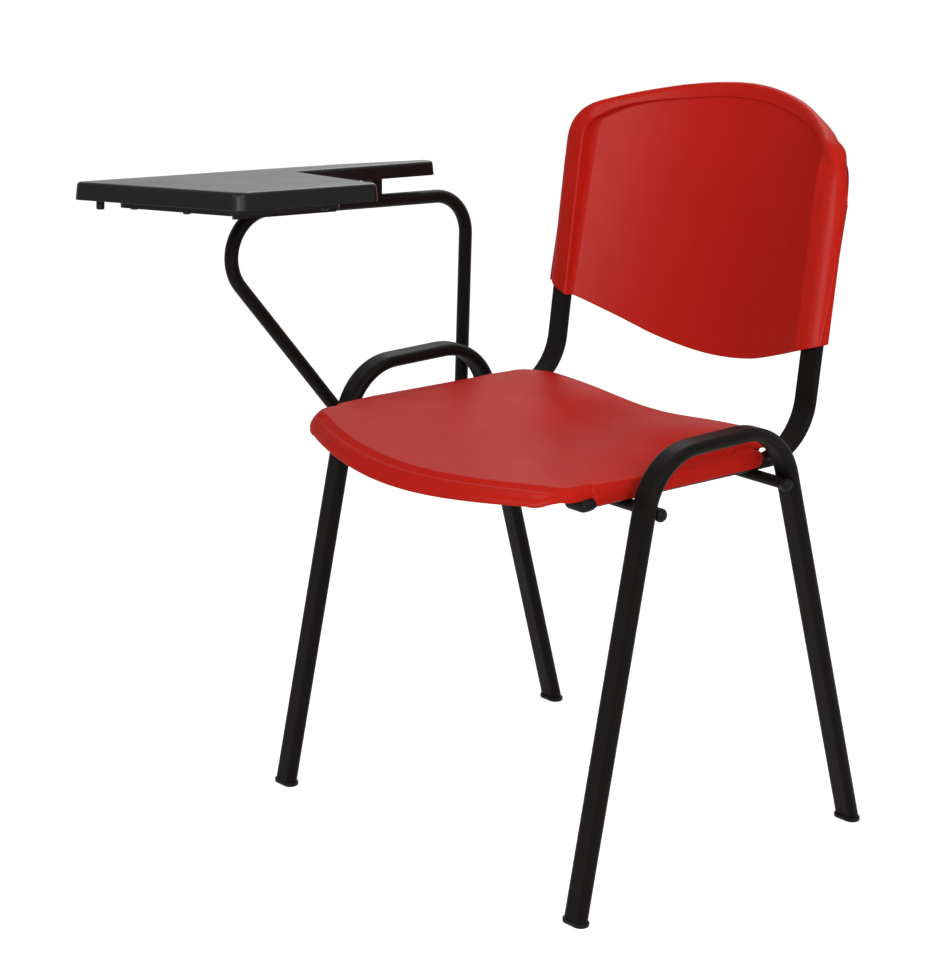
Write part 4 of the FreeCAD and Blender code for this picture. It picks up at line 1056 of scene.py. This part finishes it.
class CHAIR_OT_plugs(bpy.types.Operator):
    """Builds the rail plugs and tube caps and finishes the feet"""
    bl_idname = "chair.plugs"
    bl_label = "Feet and plugs"

    def execute(self, context):
        plastic = soft_polyethylene("Moulded_polyethylene_black", context.scene.chair_finishes.plug)
        dress(plastic, ("front_left_foot", "front_right_foot", "rear_left_foot", "rear_right_foot",
                        "arm_tube_plugs"), context.scene.chair_sizes.plug_edge)
        for side, name in ((1, "left_rail_plug"), (-1, "right_rail_plug")):
            new_piece(name + "_moulding", "chair", "black_polyethylene", plastic, name, *rail_plug_mesh(side))
        new_piece("cross_tube_cap_mouldings", "chair", "black_polyethylene", plastic, "cross_tube_caps",
                  *cap_mesh())
        return {"FINISHED"}


class CHAIR_OT_fixings(bpy.types.Operator):
    """Blackens the screws, bolts, inserts and the stop pin"""
    bl_idname = "chair.fixings"
    bl_label = "Screws and bolts"

    def execute(self, context):
        steel = blackened_steel("Blackened_steel", context.scene.chair_finishes.screw)
        dress(steel, ("seat_screws", "back_screws", "arm_bolts", "arm_mount_inserts", "cover_screws",
                      "housing_screws", "saddle_screw", "hinge_stop_pin"))
        return {"FINISHED"}


class CHAIR_OT_tablet(bpy.types.Operator):
    """Builds the writing tablet and finishes its cover, hinge housing, saddle and bumper"""
    bl_idname = "chair.tablet"
    bl_label = "Writing tablet"

    def execute(self, context):
        looks = context.scene.chair_finishes
        sizes = context.scene.chair_sizes
        edge = sizes.moulding_edge
        plastic = moulded_abs("Moulded_ABS_black", looks.tablet, looks.tablet_gloss)
        new_piece("tablet_moulding", "tablet", "black_abs_plastic", plastic, "tablet_top",
                  *tablet_mesh(sizes))
        dress(plastic, ("under_cover", "hinge_housing", "rear_saddle"), edge)
        dress(matt_rubber("Moulded_rubber_black", looks.rubber), ("tablet_bumper",), edge)
        return {"FINISHED"}


class CHAIR_OT_stage(bpy.types.Operator):
    """Sets the pale floor, the soft studio light and the camera"""
    bl_idname = "chair.stage"
    bl_label = "Studio"

    def execute(self, context):
        scene = context.scene
        studio = scene.chair_studio
        scene.view_settings.view_transform = "Standard"
        make_floor(studio)
        make_world(scene)
        for light in LIGHTS:
            make_light(scene, *light)
        camera = bpy.data.objects.new("camera", bpy.data.cameras.new("camera"))
        camera.data.lens = studio.lens
        camera.data.sensor_width = SENSOR_WIDTH
        camera.location = studio.camera
        camera.rotation_euler = facing(studio.camera_ahead)
        scene.collection.objects.link(camera)
        scene.camera = camera
        return {"FINISHED"}


class CHAIR_PT_panel(bpy.types.Panel):
    """Lists the sizes, the finishes and the makers of the chair"""
    bl_idname = "CHAIR_PT_panel"
    bl_label = "Tablet Arm Chair"
    bl_space_type = "VIEW_3D"
    bl_region_type = "UI"
    bl_category = "Chair"

    def draw(self, context):
        scene = context.scene
        for group in (scene.chair_sizes, scene.chair_finishes, scene.chair_studio):
            column = self.layout.column(align=True)
            for key in group.__annotations__:
                column.prop(group, key)
        for operator in OPERATORS:
            self.layout.operator(operator.bl_idname)


OPERATORS = (CHAIR_OT_seat, CHAIR_OT_back, CHAIR_OT_tubes, CHAIR_OT_plugs, CHAIR_OT_fixings,
             CHAIR_OT_tablet, CHAIR_OT_stage)
CLASSES = (ChairSizes, ChairFinishes, ChairStudio, *OPERATORS, CHAIR_PT_panel)


def register():
    for item in CLASSES:
        bpy.utils.register_class(item)
    bpy.types.Scene.chair_sizes = PointerProperty(type=ChairSizes)
    bpy.types.Scene.chair_finishes = PointerProperty(type=ChairFinishes)
    bpy.types.Scene.chair_studio = PointerProperty(type=ChairStudio)


def unregister():
    del bpy.types.Scene.chair_studio
    del bpy.types.Scene.chair_finishes
    del bpy.types.Scene.chair_sizes
    for item in reversed(CLASSES):
        bpy.utils.unregister_class(item)


def main():
    register()
    bpy.ops.chair.seat()
    bpy.ops.chair.back()
    bpy.ops.chair.tubes()
    bpy.ops.chair.plugs()
    bpy.ops.chair.fixings()
    bpy.ops.chair.tablet()
    bpy.ops.chair.stage()


if __name__ == "__main__":
    main()
